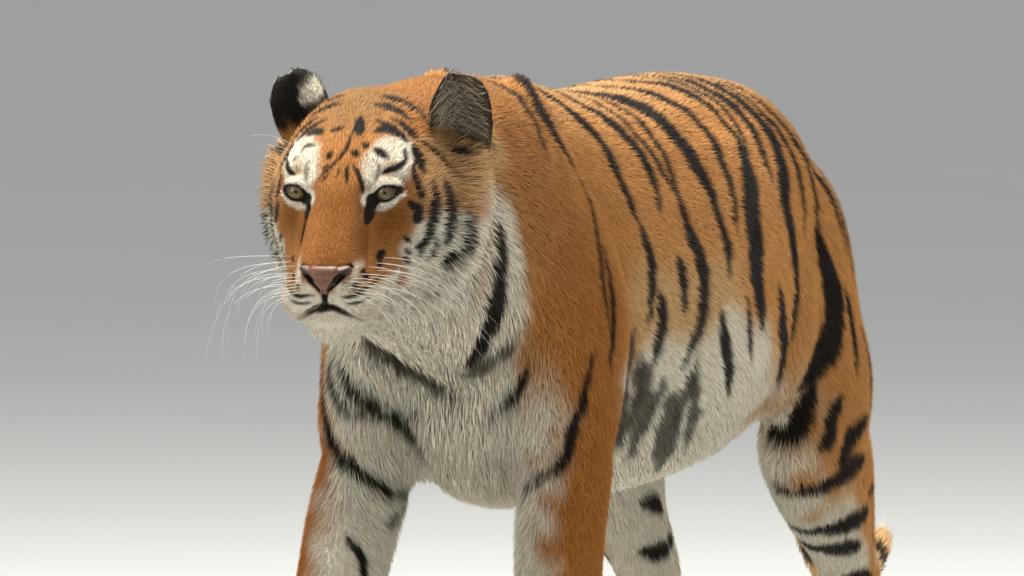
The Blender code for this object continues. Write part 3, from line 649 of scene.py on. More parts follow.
# ---------------------------------------------------------------- the skin
def read_mesh(ob):
    """Vertices, triangles and vertex normals of an object as arrays."""
    mesh = ob.data
    mesh.calc_loop_triangles()
    v = np.empty(len(mesh.vertices) * 3, dtype=np.float32)
    mesh.vertices.foreach_get("co", v)
    n = np.empty(len(mesh.vertices) * 3, dtype=np.float32)
    mesh.vertices.foreach_get("normal", n)
    t = np.empty(len(mesh.loop_triangles) * 3, dtype=np.int32)
    mesh.loop_triangles.foreach_get("vertices", t)
    return v.reshape(-1, 3).astype(float), t.reshape(-1, 3), n.reshape(-1, 3).astype(float)


def write_verts(ob, v):
    """Put an array of places back on an object's vertices."""
    ob.data.vertices.foreach_set("co", v.astype(np.float32).ravel())
    ob.data.update()


def remesh(ob, grain):
    """Make one closed surface of everything in an object."""
    mod = ob.modifiers.new("grain", "REMESH")
    mod.mode = "VOXEL"
    mod.voxel_size = grain
    settle(ob)
    return ob


def soften(ob, rounds):
    """Relax the surface."""
    mod = ob.modifiers.new("soften", "SMOOTH")
    mod.factor = 0.5
    mod.iterations = rounds
    settle(ob)


def refine(ob, inside):
    """Split the faces whose middles satisfy inside(places), then relax them."""
    bm = bmesh.new()
    bm.from_mesh(ob.data)
    mids = np.array([f.calc_center_median() for f in bm.faces])
    chosen = inside(mids)
    edges = {e for f, yes in zip(bm.faces, chosen) if yes for e in f.edges}
    done = bmesh.ops.subdivide_edges(bm, edges=list(edges), cuts=1, use_grid_fill=True)
    verts = [g for g in done["geom_inner"] if isinstance(g, bmesh.types.BMVert)]
    for _ in range(3):
        bmesh.ops.smooth_vert(bm, verts=verts, factor=0.5,
                              use_axis_x=True, use_axis_y=True, use_axis_z=True)
    bm.to_mesh(ob.data)
    bm.free()


def near_head(p):
    """The whole head."""
    h = to_head(p)
    return (h[:, 1] < 0.14) & (np.abs(h[:, 0]) < 0.14) & (h[:, 2] > -0.18) & (h[:, 2] < 0.1)


def near_face(p):
    """Eyes, nose and mouth."""
    h = to_head(p)
    eyes = (np.abs(np.abs(h[:, 0]) - 0.053) < 0.034) & (np.abs(h[:, 2]) < 0.034)
    return ((h[:, 1] < 0.03) & eyes) | ((h[:, 1] < -0.045) & (h[:, 2] < -0.035))


# An eye's own axes in head space for the left side: outward look, and the slit
EYE_OUT = np.array([0.10, -0.90, 0.36])
EYE_SLIT = np.array([0.96, 0.12, 0.20])
SLIT_HALF = 0.0126      # half the length of the opening
LID_UP = 0.0058
LID_LOW = 0.0062
LID_THICK = 0.0016
LID_EDGE = 0.0016       # width of the raised edge of the lids
SOCKET = 0.0045         # how far the skin sinks behind the ball's surface in the opening


def eye_axes(side):
    """Centre and axes (along the slit, up, out) of an eye in head space."""
    flip = np.array([side, 1.0, 1.0])
    out = unit(EYE_OUT * flip)
    along = EYE_SLIT * flip
    along = unit(along - out * (along @ out))
    up = np.cross(out, along) * side
    up = up if up[2] > 0.0 else -up
    return np.array([side * EYE_APART / 2.0, EYE_AHEAD, 0.0]), along, up, out


def slit(h, side):
    """For head-space places: distance outside an eye's almond opening, negative inside; the
    way from its centre; how far in front of it; and how far along the opening."""
    centre, along, up, out = eye_axes(side)
    d = h - centre
    # the opening is told by bearing from the centre, so that it is as wide at any depth
    scale = EYE_R / np.clip(np.linalg.norm(d, axis=1), 0.006, 0.0235)
    u = d @ along * scale
    v = d @ up * scale
    t = np.clip(np.abs(u) / SLIT_HALF, 0.0, 1.0)
    # the inner corner runs down in a point
    arch = (1.0 - t ** 2) ** 0.85
    drop = np.where(u < 0.0, -0.0022 * t ** 2, 0.0006 * t ** 2)
    over = np.where(v > drop, v - drop - LID_UP * arch, drop - v - LID_LOW * arch)
    past = np.hypot(np.maximum(np.abs(u) - SLIT_HALF, 0.0), np.maximum(over, 0.0))
    gap = np.where((np.abs(u) < SLIT_HALF) & (over < 0.0), over, np.maximum(past, over))
    return gap, d, d @ out, u


# Lines of the face, in cm of head space: from the nose to the lips, the left half of the
# lips, and the crease beside the nose bridge
MOUTH = [[(0, -12.2, -7.4), (0, -12.2, -8.2), (0, -12.0, -8.9)],
         [(0, -12.0, -8.9), (0.9, -11.8, -9.4), (1.9, -11.3, -9.9), (3.2, -10.0, -10.2),
          (4.6, -7.8, -10.1), (5.5, -5.4, -9.8), (6.2, -2.4, -9.5)]]
CREASE = [(2.9, -2.8, -1.4), (3.4, -4.6, -3.0), (3.9, -6.2, -4.4), (4.1, -7.6, -5.8)]


FACE_LINES = {"mouth": [], "crease": []}


# Half width of the nose leather at heights of the head, from its foot to its top
LEATHER_HALF = ((-0.0770, 0.0), (-0.0740, 0.0050), (-0.0660, 0.0150), (-0.0560, 0.0265),
                (-0.0520, 0.0300), (-0.0490, 0.0270))


def off_leather(h):
    """How far places in front lie outside the outline of the nose leather."""
    half = np.interp(h[:, 2], *np.array(LEATHER_HALF).T)
    high = np.maximum(h[:, 2] - LEATHER_HALF[-1][0], LEATHER_HALF[0][0] - h[:, 2])
    gap = np.maximum(np.abs(h[:, 0]) - half, high)
    return np.where(h[:, 1] < -0.080, gap, 1.0)


def settle_lines(v, t):
    """Lay the face's lines on the surface, in head space."""
    tree = BVHTree.FromPolygons(v.tolist(), t.tolist())

    def down(line):
        return to_head(np.array([tree.find_nearest(Vector(p))[0] for p in from_head(line)]))

    both = np.array([-1.0, 1.0, 1.0])
    middle, lip, fold = (np.array(spline(c, 6)) / 100.0 for c in (*MOUTH, CREASE))
    FACE_LINES["mouth"] = [down(middle), down(lip), down(lip * both)]
    FACE_LINES["crease"] = [down(fold), down(fold * both)]


def sculpt_face(v, n):
    """Lids, lips and the groove under the nose, on places in body space."""
    h = to_head(v)
    nh = n @ HEAD_TURN
    for side in (1.0, -1.0):
        gap, d, front, _ = slit(h, side)
        r = np.linalg.norm(d, axis=1)
        near = (front > 0.002) & (r < 0.050)
        lid = EYE_R + LID_THICK + 0.0022 * step(0.002, 0.012, gap)
        goal = np.where(gap < 0.0, EYE_R - SOCKET, lid)
        goal = np.where((gap >= 0.0) & (gap < LID_EDGE), EYE_R + LID_THICK + 0.0004, goal)
        w = (1.0 - step(0.006, 0.018, gap)) * near
        h = h + (d / (r[:, None] + 1e-9)) * ((goal - r) * w)[:, None]
    for line in FACE_LINES["mouth"]:
        away = along(h, line)[0]
        fold = 0.0045 * np.exp(-(away / 0.0026) ** 2) - 0.0012 * np.exp(-((away - 0.006) / 0.003) ** 2)
        h = h - nh * fold[:, None]
    for line in FACE_LINES["crease"]:
        away = along(h, line)[0]
        h = h - nh * (0.0028 * np.exp(-(away / 0.0050) ** 2))[:, None]
    h[:, 1] += 0.0075 * step(0.0008, -0.0022, off_leather(h))
    return from_head(h)


CLEFT_DEEP = 0.0055
CLEFT_WIDE = 0.0042


def sculpt_paws(v, n):
    """Clefts between the toes."""
    for side, at, width, length, out_turn in PAWS.values():
        turn = np.array(Matrix.Rotation(math.radians(side * out_turn), 3, "Z"))
        q = (v - np.array([side * at[0], at[1], 0.0])) @ turn
        for toe, other in zip(TOES, TOES[1:]):
            across = width * (toe[0] + other[0]) / 2.0
            away = np.abs(q[:, 0] - across * (1.0 + 0.35 * (-q[:, 1] / length - 0.3)))
            ahead = step(-length * 0.16, -length * 0.36, q[:, 1]) * step(0.085, 0.060, q[:, 2])
            near = (np.abs(q[:, 0]) < width * 0.6) & (np.abs(q[:, 1]) < length)
            v = v - n * (CLEFT_DEEP * np.exp(-(away / CLEFT_WIDE) ** 2) * ahead * near)[:, None]
    return v


def build_skin():
    """Fuse the forms, refine the head, sink the surface by the coat's depth, shape the face."""
    ob = remesh(fuse(parts, "skin"), VOXEL)
    soften(ob, 12)
    refine(ob, near_head)
    refine(ob, near_face)
    v, _, n = read_mesh(ob)
    depth = coat_at(v)[2]
    sole = 1.0 - step(0.006, 0.030, v[:, 2])
    v = v - n * (depth * (1.0 - sole))[:, None]
    write_verts(ob, v)
    soften(ob, 3)
    v, t, n = read_mesh(ob)
    settle_lines(v, t)
    v = sculpt_paws(sculpt_face(v, n), n)
    v[:, 2] = np.maximum(v[:, 2], -MOVE.z)
    write_verts(ob, v)
    return ob


# ---------------------------------------------------------------- ears
# Where each ear stands in head space, and degrees that it is turned, leant and tilted
EARS = {"left": ((0.109, 0.146, -0.022), 42.0, 10.0, -9.0),
        "right": ((-0.066, 0.142, -0.020), -128.0, 14.0, 12.0)}
EAR_TALL = 0.114
EAR_DEEP = 0.026        # depth of the cup
EAR_THICK = 0.0045
# share of the height, half width
EAR_WIDTHS = ((0.0, 0.0290), (0.12, 0.0335), (0.25, 0.0377), (0.4, 0.0400), (0.55, 0.0405),
              (0.68, 0.0392), (0.8, 0.0355), (0.9, 0.0282), (0.96, 0.0203), (1.0, 0.0105))
EAR_ACROSS = 15


def ear_place(base, turn, lean, tilt):
    """Where an ear stands, from its own space (x across, y back, z up) to body space."""
    return (HEAD @ Matrix.Translation(Vector(base))
            @ Matrix.Rotation(math.radians(turn), 4, "Z")
            @ Matrix.Rotation(math.radians(lean), 4, "X")
            @ Matrix.Rotation(math.radians(tilt), 4, "Y"))


def build_ear(tag):
    """An ear's skin: a thin cup, thinner at its rim.  Returns it and its first back vertex."""
    place = ear_place(*EARS[tag])
    bm = bmesh.new()
    sheets = []
    for back in (0.0, 1.0):
        rows = []
        for v, half in EAR_WIDTHS:
            row = []
            for k in range(EAR_ACROSS):
                u = 2.0 * k / (EAR_ACROSS - 1) - 1.0
                sag = EAR_DEEP * (1.0 - u * u) * (1.0 - 0.55 * v) + 0.003
                lip = 0.30 + 0.70 * (1.0 - abs(u) ** 4)
                p = Vector((half * u * 0.97, sag + back * EAR_THICK * lip, EAR_TALL * v))
                row.append(bm.verts.new(place @ p))
            rows.append(row)
        sheets.append(rows)
    front, rear = sheets
    for i in range(len(EAR_WIDTHS) - 1):
        for k in range(EAR_ACROSS - 1):
            bm.faces.new((front[i][k], front[i][k + 1], front[i + 1][k + 1], front[i + 1][k]))
            bm.faces.new((rear[i][k], rear[i + 1][k], rear[i + 1][k + 1], rear[i][k + 1]))
        for k in (0, EAR_ACROSS - 1):
            bm.faces.new((front[i][k], front[i + 1][k], rear[i + 1][k], rear[i][k]))
    for k in range(EAR_ACROSS - 1):
        for i in (0, len(EAR_WIDTHS) - 1):
            bm.faces.new((front[i][k], front[i][k + 1], rear[i][k + 1], rear[i][k]))
    bmesh.ops.recalc_face_normals(bm, faces=bm.faces)
    return keep(bm, "ear_skin_" + tag), len(EAR_WIDTHS) * EAR_ACROSS


# ---------------------------------------------------------------- markings
# Linear colours of the coat
BLACK = np.array((0.012, 0.008, 0.006))
SMOKE = np.array((0.052, 0.043, 0.033))
UMBER = np.array((0.110, 0.040, 0.012))
WHITE = np.array((0.700, 0.650, 0.520))
CREAM = np.array((0.680, 0.500, 0.270))
RUST = np.array((0.400, 0.150, 0.028))
AMBER = np.array((0.560, 0.265, 0.078))
STRAW = np.array((0.600, 0.400, 0.190))
LIP = np.array((0.020, 0.014, 0.012))
LEATHER = np.array((0.022, 0.014, 0.012))
# The head's shades of them: the tiger's own tones there, and for the whole face and the nose bridge also
# painted shade, as if the face took less light
TAWNY_SHADED = AMBER * np.array((0.76, 0.70, 0.66))
CROWN = AMBER * np.array((0.48, 0.57, 0.70))
NAPE = AMBER * np.array((0.62, 0.54, 0.44))
BRIDGE_SHADED = RUST * np.array((0.60, 0.56, 0.46))

# Upper edge of the white belly: y, degrees from the spine
BELLY_EDGE = ((-0.45, 118), (-0.35, 110), (-0.20, 102), (-0.08, 98), (0.02, 104), (0.10, 118),
              (0.18, 134), (0.30, 150))
# Front edge of the orange shoulder: height, y
CHEST_EDGE = ((0.40, -0.600), (0.50, -0.600), (0.55, -0.615), (0.60, -0.632), (0.65, -0.655),
              (0.70, -0.700), (0.75, -0.742), (0.80, -0.780), (0.86, -0.870), (0.95, -1.2))
# Orange on each leg: its front edge (height, degrees), its rear edge, its colour, and the
# heights between which the leg takes over from the trunk
LEG_LOOKS = {
    "fore_left": (((0.0, 10.0), (1.0, 10.0)), 172.0, RUST, 0.66, 0.50),
    "fore_right": (((0.0, 14.0), (1.0, 14.0)), 172.0, RUST, 0.66, 0.50),
    "hind_left": (((0.28, 58.0), (0.42, 4.0)), 186.0, AMBER * 0.92, 0.62, 0.44),
    "hind_right": (((0.0, 20.0), (1.0, 20.0)), 186.0, AMBER * 0.92, 0.62, 0.44),
}

# Round the trunk: cm along Y, degrees from the spine; width mm
TRUNK_STRIPES = [
    ([(-60, 6), (-58, 13), (-59, 22), (-60.5, 30)], 15),
    ([(-52, 8), (-54.5, 16), (-54, 24), (-51.8, 33)], 19),
    ([(-52, 30), (-50.5, 45), (-52, 60), (-54, 78), (-54.5, 95)], 8),
    ([(-49, 9), (-50.5, 16), (-51, 23)], 8),
    # painted shadow: the crease behind the shoulder, laid as a dark line
    ([(-50.5, 60), (-52, 80), (-53.5, 98), (-54.5, 112)], 10),
    ([(-77, 20), (-77.5, 27)], 13), ([(-70, 9), (-71, 17)], 8),
    ([(-44, 12), (-38, 25), (-36.5, 40), (-34.5, 56)], 18),
    ([(-35, 50), (-33, 68), (-33, 80), (-34.5, 98)], 17),
    ([(-34, 12), (-30, 20), (-27.5, 30), (-27, 40), (-28, 51)], 20),
    ([(-26, 15), (-25, 24), (-23.5, 36), (-22.5, 47)], 12),
    ([(-22, 10), (-20.5, 20), (-20.5, 34), (-21.5, 44), (-22, 52)], 13),
    ([(-22, 47), (-21, 60), (-19, 75), (-18.7, 88), (-20.5, 102), (-24, 117)], 22),
    ([(-19, 8), (-15, 19), (-13.5, 33), (-12, 45), (-11.5, 59)], 29),
    ([(-12, 53), (-10.5, 68), (-10.8, 81)], 18),
    ([(-14, 95), (-12.5, 107), (-10, 117), (-7, 128)], 22),
    ([(-10, 7), (-5, 20), (-3.5, 30), (-4, 42), (-5, 54), (-6.5, 65)], 18),
    ([(-1, 7), (3.5, 16), (5, 24), (5.5, 37)], 19),
    ([(6.5, 33), (4, 46), (1, 58), (-0.5, 75), (-0.5, 88), (1.5, 105)], 42),
    ([(5, 8), (8.5, 20), (9, 29), (7.5, 39)], 14),
    ([(9, 8), (12.5, 18), (14.5, 26), (14, 36), (13, 47)], 24),
    ([(15, 8), (20, 24), (21.5, 35), (19.5, 45), (17, 56), (18, 72), (19, 90), (18, 115)], 31),
    ([(9, 89), (10.5, 102), (13.5, 112), (16, 122), (18, 133)], 25),
    ([(21, 11), (26, 30), (27, 44), (26, 56), (24.5, 67)], 13),
    ([(27, 16), (30, 30), (33, 44), (31.5, 58), (30, 73)], 14),
    ([(30, 68), (31.5, 88), (32.5, 102), (31, 114), (27.5, 124), (24, 134)], 36),
    ([(33, 22), (34.5, 34), (37.5, 48), (38, 62), (38.5, 79)], 11),
    ([(38, 44), (40, 64), (40.5, 78), (41, 93)], 9),
    ([(36, 95), (37.5, 110), (37, 125)], 14),
    ([(-31, 83), (-30.5, 95), (-31, 105), (-32.5, 117)], 20),
    ([(-25.5, 69), (-24.5, 80), (-24.5, 94)], 17),
    ([(-5, 91), (-4, 104), (-2, 117)], 12),
]
BELLY_STRIPES = [
    ([(-47, 120), (-41, 132), (-34, 148)], 42), ([(-37, 116), (-33, 130), (-29, 150)], 36),
    ([(-26, 128), (-23, 140), (-15, 155)], 34), ([(-20, 112), (-21, 126), (-22, 140)], 22),
    ([(-38, 100), (-40, 118), (-43, 142)], 18), ([(-36, 112), (-34.5, 128), (-36, 150)], 14),
    ([(-29, 118), (-29, 132), (-30, 152)], 16), ([(-22, 118), (-18, 130), (-13, 148)], 22),
]
# Seen square from the side: cm along Y, cm up; width mm
SIDE_STRIPES = [
    ([(38, 85), (41.5, 78), (43, 70), (43.5, 62)], 13), ([(42.5, 82), (45, 76), (46.5, 69)], 10),
    ([(46, 66), (47, 60), (46.5, 54)], 12), ([(42, 58), (44, 52), (43.5, 47)], 12),
    ([(27, 51), (24.5, 47), (23, 42)], 25), ([(32.5, 49.5), (29, 46.5), (26, 43)], 24),
    ([(42, 46.5), (35, 44), (30, 41.5)], 26), ([(44, 41.5), (34, 40.2), (25.5, 37.8)], 24),
    ([(47.5, 41), (43, 38)], 10), ([(50, 34.5), (40, 33.5), (33.5, 33)], 24),
    ([(48, 30), (41, 30.4), (34, 31.5)], 21), ([(55, 25.5), (50, 26.3), (45, 27)], 17),
    ([(60, 19.5), (56, 20.6), (52, 21)], 14), ([(61, 13.5), (57, 14.4)], 11),
]
# Seen square from the front: cm across, cm up; width mm
FRONT_STRIPES = [
    ([(8.5, 62), (7, 60.3), (4.5, 58.8), (2.3, 57.8)], 24),
    ([(15.8, 60), (15.3, 56.8), (14.9, 53.8), (14.2, 51.2), (13.5, 48.3), (12.5, 46.6),
      (10.7, 45.3), (8.5, 44), (7.6, 42.3)], 13),
]
FRONT_RIGHT = [
    ([(-7.5, 61.3), (-5.5, 59.6), (-3, 57.5), (-1, 55.3), (0, 53.5)], 26),
    ([(-12.5, 58.7), (-11.5, 56.5), (-9.8, 54.2), (-8.3, 52.5), (-6.8, 51), (-5.3, 49),
      (-4.5, 47.5)], 15),
    ([(-15.5, 49.7), (-13, 47.6), (-10.5, 45.8), (-8.6, 43.5), (-7.2, 41.2), (-5.8, 38.8),
      (-5.2, 37)], 13),
    ([(-10.5, 38.5), (-9, 36.8), (-8.2, 34.5), (-8, 32)], 12),
]
# Seen from 45 degrees between front and side: cm across that view, cm up; width mm
QUARTER_STRIPES = [
    ([(-48, 76), (-46.8, 73), (-46.6, 70), (-46, 67), (-45.3, 64), (-45.1, 61), (-45, 58.8)], 25),
    ([(-37.5, 59), (-37.6, 56.5), (-38.3, 54.5), (-39.3, 52.8), (-40.8, 51.7)], 13),
]
# Round a leg: cm up, degrees (0 front, 90 outer, 180 rear, 270 inner); width mm
FORE_BARS = [([(41, 215), (40, 250), (39, 290)], 12), ([(33, 210), (32, 245), (31, 280)], 12),
             ([(25, 205), (24, 240)], 10), ([(37, 150), (36, 178)], 9)]
HIND_BARS = [([(45, 335), (43, 305), (41, 275)], 14), ([(37, 345), (36, 310), (35, 262)], 22),
             ([(30.5, 350), (30, 315), (30, 262)], 23), ([(24, 340), (24, 300), (23.5, 255)], 16),
             ([(18, 330), (18, 285)], 12)]
# On the face from in front, head space: cm outward, cm up; width mm
FACE_LEFT = [
    ([(3.2, 6.0), (4.2, 5.8), (5.2, 5.2)], 9), ([(3.5, 4.7), (4.4, 4.2), (5.2, 3.5)], 8),
    ([(4.7, 2.3), (5.6, 2.6), (6.6, 2.8), (7.0, 3.0)], 7), ([(6.9, 2.9), (6.5, 3.8)], 5),
    ([(7.2, 5.0), (7.9, 4.0), (8.2, 2.7)], 11), ([(7.6, 2.4), (7.8, 1.2), (8.0, 0.3)], 7),
    ([(4.3, 0.6), (3.9, -0.4), (3.7, -1.3), (3.5, -2.2)], 11),
    ([(2.4, 2.6), (2.7, 1.7), (2.9, 0.8)], 5), ([(7.6, -1.3), (8.0, -1.9)], 9),
    ([(1.9, -8.1), (3.0, -8.1), (4.3, -7.7), (5.6, -7.3)], 4),
    ([(2.4, -8.9), (3.6, -8.9), (5.0, -8.5)], 3),
    ([(3.3, -7.1), (3.7, -7.0)], 5), ([(4.2, -6.8), (4.6, -6.6)], 6), ([(5.1, -6.3), (5.4, -6.1)], 6),
    ([(3.9, -6.1), (4.2, -6.0)], 5), ([(4.9, -5.6), (5.6, -5.3)], 8),
]
FACE_RIGHT = [
    ([(2.6, 6.0), (3.8, 5.8), (5.1, 5.2)], 10), ([(0.3, 6.6), (1.8, 6.2)], 7),
    ([(3.5, 4.9), (4.7, 4.6), (5.5, 3.9)], 5), ([(5.9, 3.4), (6.1, 3.1)], 5),
    ([(7.5, 3.0), (6.7, 2.3), (5.7, 1.9)], 6), ([(3.7, 0.0), (3.5, -0.9), (3.7, -1.9)], 7),
    ([(3.6, -1.6), (3.9, -3.0), (4.0, -4.4)], 3), ([(7.4, 5.4), (8.0, 4.2), (8.6, 2.4)], 7),
    ([(1.3, -8.0), (2.6, -8.2), (4.0, -8.0), (5.0, -7.5)], 4), ([(1.6, -8.9), (3.2, -9.0), (4.6, -8.6)], 3),
    ([(4.0, -6.7), (4.4, -6.5)], 5), ([(4.8, -5.8), (5.2, -5.6)], 5), ([(3.1, -7.2), (3.5, -7.1)], 4),
]
FACE_MID = [
    ([(1.3, 7.1), (1.5, 6.5), (1.7, 6.0)], 10), ([(-1.3, 4.7), (-1.5, 4.2)], 7),
    ([(1.3, 4.8), (1.9, 4.4)], 8), ([(2.3, 5.3), (2.8, 5.0)], 6),
    ([(1.1, 7.0), (0.7, 5.7), (0.2, 4.6), (-0.9, 3.6), (-2.0, 2.7), (-2.7, 2.1)], 4),
    ([(0.9, 3.7), (1.0, 2.8), (1.1, 2.0)], 4), ([(1.5, 3.6), (2.2, 2.8), (2.5, 1.9)], 5),
    ([(-1.4, 3.7), (-2.1, 3.1)], 4), ([(0.1, 3.4), (-0.3, 2.6)], 3), ([(-1.2, 2.9), (-1.9, 2.1)], 3),
    ([(-6.5, 5.4), (-5.0, 6.9), (-1.8, 8.0), (2.0, 8.2)], 11),
    ([(1.6, 8.3), (3.4, 7.7), (4.4, 6.9), (5.2, 6.0)], 10),
    ([(-1.3, -9.9), (-0.3, -9.5), (0.5, -9.4), (1.6, -9.8)], 9),
]
FACE_SMOKE = [([(3.6, 3.8), (4.2, 3.0), (4.1, 2.1), (4.0, 1.5)], 5)]
# On the head by bearing: degrees from straight ahead to the side, degrees up; width mm
HEAD_STRIPES = [
    ([(93, 50), (87, 43), (82, 35)], 11), ([(74, 38), (71, 28), (70, 20)], 7),
    ([(86, 27), (83, 15), (77, 8), (70, -1), (64, -8), (54, -8)], 12),
    ([(65, 19), (61, 12), (56, 9)], 9), ([(98, 21), (97, 8), (94, -2), (92, -11), (92, -19)], 16),
    ([(77, -10), (77, -19), (71, -23)], 9), ([(62, -9), (60, -18)], 7),
    ([(96, -26), (99, -37)], 12), ([(45, 3), (50, -3)], 4), ([(44, -5), (49, -11)], 4),
    ([(41, -10), (46, -14), (50, -19)], 4.5), ([(103, 49), (109, 36), (112, 26), (112, 13)], 6),
    ([(126, 26), (127, 13)], 9), ([(106, -4), (107, -20), (104, -33)], 13),
    ([(150, 73), (135, 63), (122, 54)], 9), ([(116, 67), (108, 56), (104, 49)], 8),
    ([(98, 76), (94, 63), (91, 54)], 8), ([(160, 62), (145, 50), (134, 42)], 10),
]
# White ground: the same families, wide and soft
FACE_WHITE = [([(3.6, 1.6), (4.0, 3.6), (4.9, 5.1)], 24), ([(6.6, 1.8), (6.6, 3.2), (6.0, 4.7)], 27),
              ([(3.6, -5.0), (3.2, -6.6), (1.8, -8.2)], 9), ([(2.4, -6.7), (1.5, -7.5), (0.9, -8.2)], 8),
              ([(1.4, -8.7), (3.4, -9.0), (5.4, -8.6)], 20),
              ([(3.2, 1.2), (3.3, -0.3)], 6), ([(3.9, 1.9), (5.2, 1.9), (6.8, 1.5)], 12)]
HEAD_WHITE = [([(58, 0), (63, -7), (72, -15), (80, -24)], 48), ([(76, 0), (83, -7), (90, -16)], 42),
              ([(96, -11), (101, -17), (100, -24), (95, -32)], 60), ([(46, -3), (52, -15), (60, -26)], 32),
              ([(114, -20), (116, -26), (112, -34)], 66), ([(60, -26), (70, -34), (84, -40)], 60)]
TAIL_RINGS = (0.10, 0.17, 0.235, 0.30, 0.36, 0.42, 0.485, 0.55, 0.62, 0.69, 0.765, 0.84)


# The coat's overlap eats into a stripe, so each is laid broader than it shows
WIDEN = {"trunk": 1.55, "side": 1.35, "front": 1.35, "quarter": 1.2, "face": 1.3, "head": 1.8,
         "fore_left": 1.2, "fore_right": 1.2, "hind_left": 1.2, "hind_right": 1.2}


class Ground:
    """A surface as a target for the rays that place strokes, nostrils and whiskers."""

    def __init__(self, v, t):
        self.tree = BVHTree.FromPolygons(v.tolist(), t.tolist())

    def hit(self, start, way):
        """First place on the surface from start along way, or None."""
        spot = self.tree.ray_cast(Vector(start), Vector(way).normalized())[0]
        return None if spot is None else np.array(spot)

    def place(self, family, a, b, side):
        """Place on the surface of a family's point a, b, on the given side."""
        if family == "trunk":
            t = math.radians(b)
            way = np.array([math.sin(t) * side, 0.0, math.cos(t)])
            mid = np.array([0.0, a / 100.0, AXIS_Z])
            return self.hit(mid + way * 0.6, -way)
        if family == "side":
            y = a / 100.0
            if side < 0.0 and b < 56.0:
                y += axis_at("hind_right", b / 100.0)[1] - axis_at("hind_left", b / 100.0)[1]
            return self.hit((side * 0.6, y, b / 100.0), (-side, 0.0, 0.0))
        if family == "front":
            return self.hit((a / 100.0 * side, -1.6, b / 100.0), (0.0, 1.0, 0.0))
        if family == "quarter":
            c = math.sqrt(0.5)
            back = np.array([c * side, -c, 0.0])
            mid = np.array([c * side, c, 0.0]) * a / 100.0 + np.array([0.0, 0.0, b / 100.0])
            return self.hit(mid + back * 1.2, -back)
        if family in AXES:
            x, y = axis_at(family, a / 100.0)
            t = math.radians(b)
            way = np.array([math.sin(t) * AXES[family][0], -math.cos(t), 0.0])
            mid = np.array([x, y, a / 100.0])
            reach = 0.16 if b < 200.0 else 0.085
            return self.hit(mid + way * reach, -way)
        if family == "face":
            start = from_head([a / 100.0 * side, -0.5, b / 100.0])
            return self.hit(start, HEAD_TURN @ np.array([0.0, 1.0, 0.0]))
        way = bearing(a, b, side)
        return self.hit(from_head(SKULL_MID + way * 0.3), HEAD_TURN @ -way)


def lay_strokes(ground, family, table, sides=(1.0, -1.0), taper=0.7, widen=None):
    """Strokes of a table as lines on the skin with half widths."""
    out = []
    widen = widen or WIDEN[family]
    for number, (points, width) in enumerate(table):
        for side in sides:
            rows = np.array(points, dtype=float)
            if family == "trunk" and rows[0, 1] < 20.0:
                # a stripe of the back starts at the spine
                slope = (rows[1, 0] - rows[0, 0]) / (rows[1, 1] - rows[0, 1])
                rows = np.vstack([[rows[0, 0] - slope * rows[0, 1], 0.0], rows])
            if side < 0.0 and len(sides) == 2 and family in ("trunk", "side"):
                # the two sides differ, as they do on a live tiger
                sway = math.sin(number * 2.4) * 0.9
                rows[:, 0] += sway + np.sin(np.arange(len(rows)) * 1.7 + number) * 0.5
            line = []
            for row in spline(rows, 5):
                spot = ground.place(family, row[0], row[1], side)
                if spot is not None:
                    line.append(spot)
            if len(line) < 2:
                continue
            line = np.array(line)
            t = np.linspace(0.0, 1.0, len(line))
            half = widen * width / 2000.0 * (0.22 + 0.78 * np.sin(math.pi * t) ** taper)
            out.append((line, half))
    return out


def paint(colour, ink, m):
    """Blend an ink into rows of colours, each by its share m."""
    colour += (ink - colour) * np.clip(m, 0.0, 1.0)[:, None]


def brush(p, colour, strokes, ink, soft, strength=1.0):
    """Blend an ink into colours wherever places lie in the strokes."""
    for line, half in strokes:
        margin = half.max() + soft
        low = line.min(axis=0) - margin
        high = line.max(axis=0) + margin
        idx = np.nonzero(((p > low) & (p < high)).all(axis=1))[0]
        if not len(idx):
            continue
        q = p[idx]
        best = np.full(len(q), -1.0)
        for a, b, ra, rb in zip(line, line[1:], half, half[1:]):
            ab = b - a
            t = np.clip((q - a) @ ab / max(ab @ ab, 1e-12), 0.0, 1.0)
            best = np.maximum(best, ra + (rb - ra) * t - np.linalg.norm(q - a - t[:, None] * ab, axis=1))
        m = step(-soft, soft, best) * strength
        colour[idx] += (ink - colour[idx]) * m[:, None]


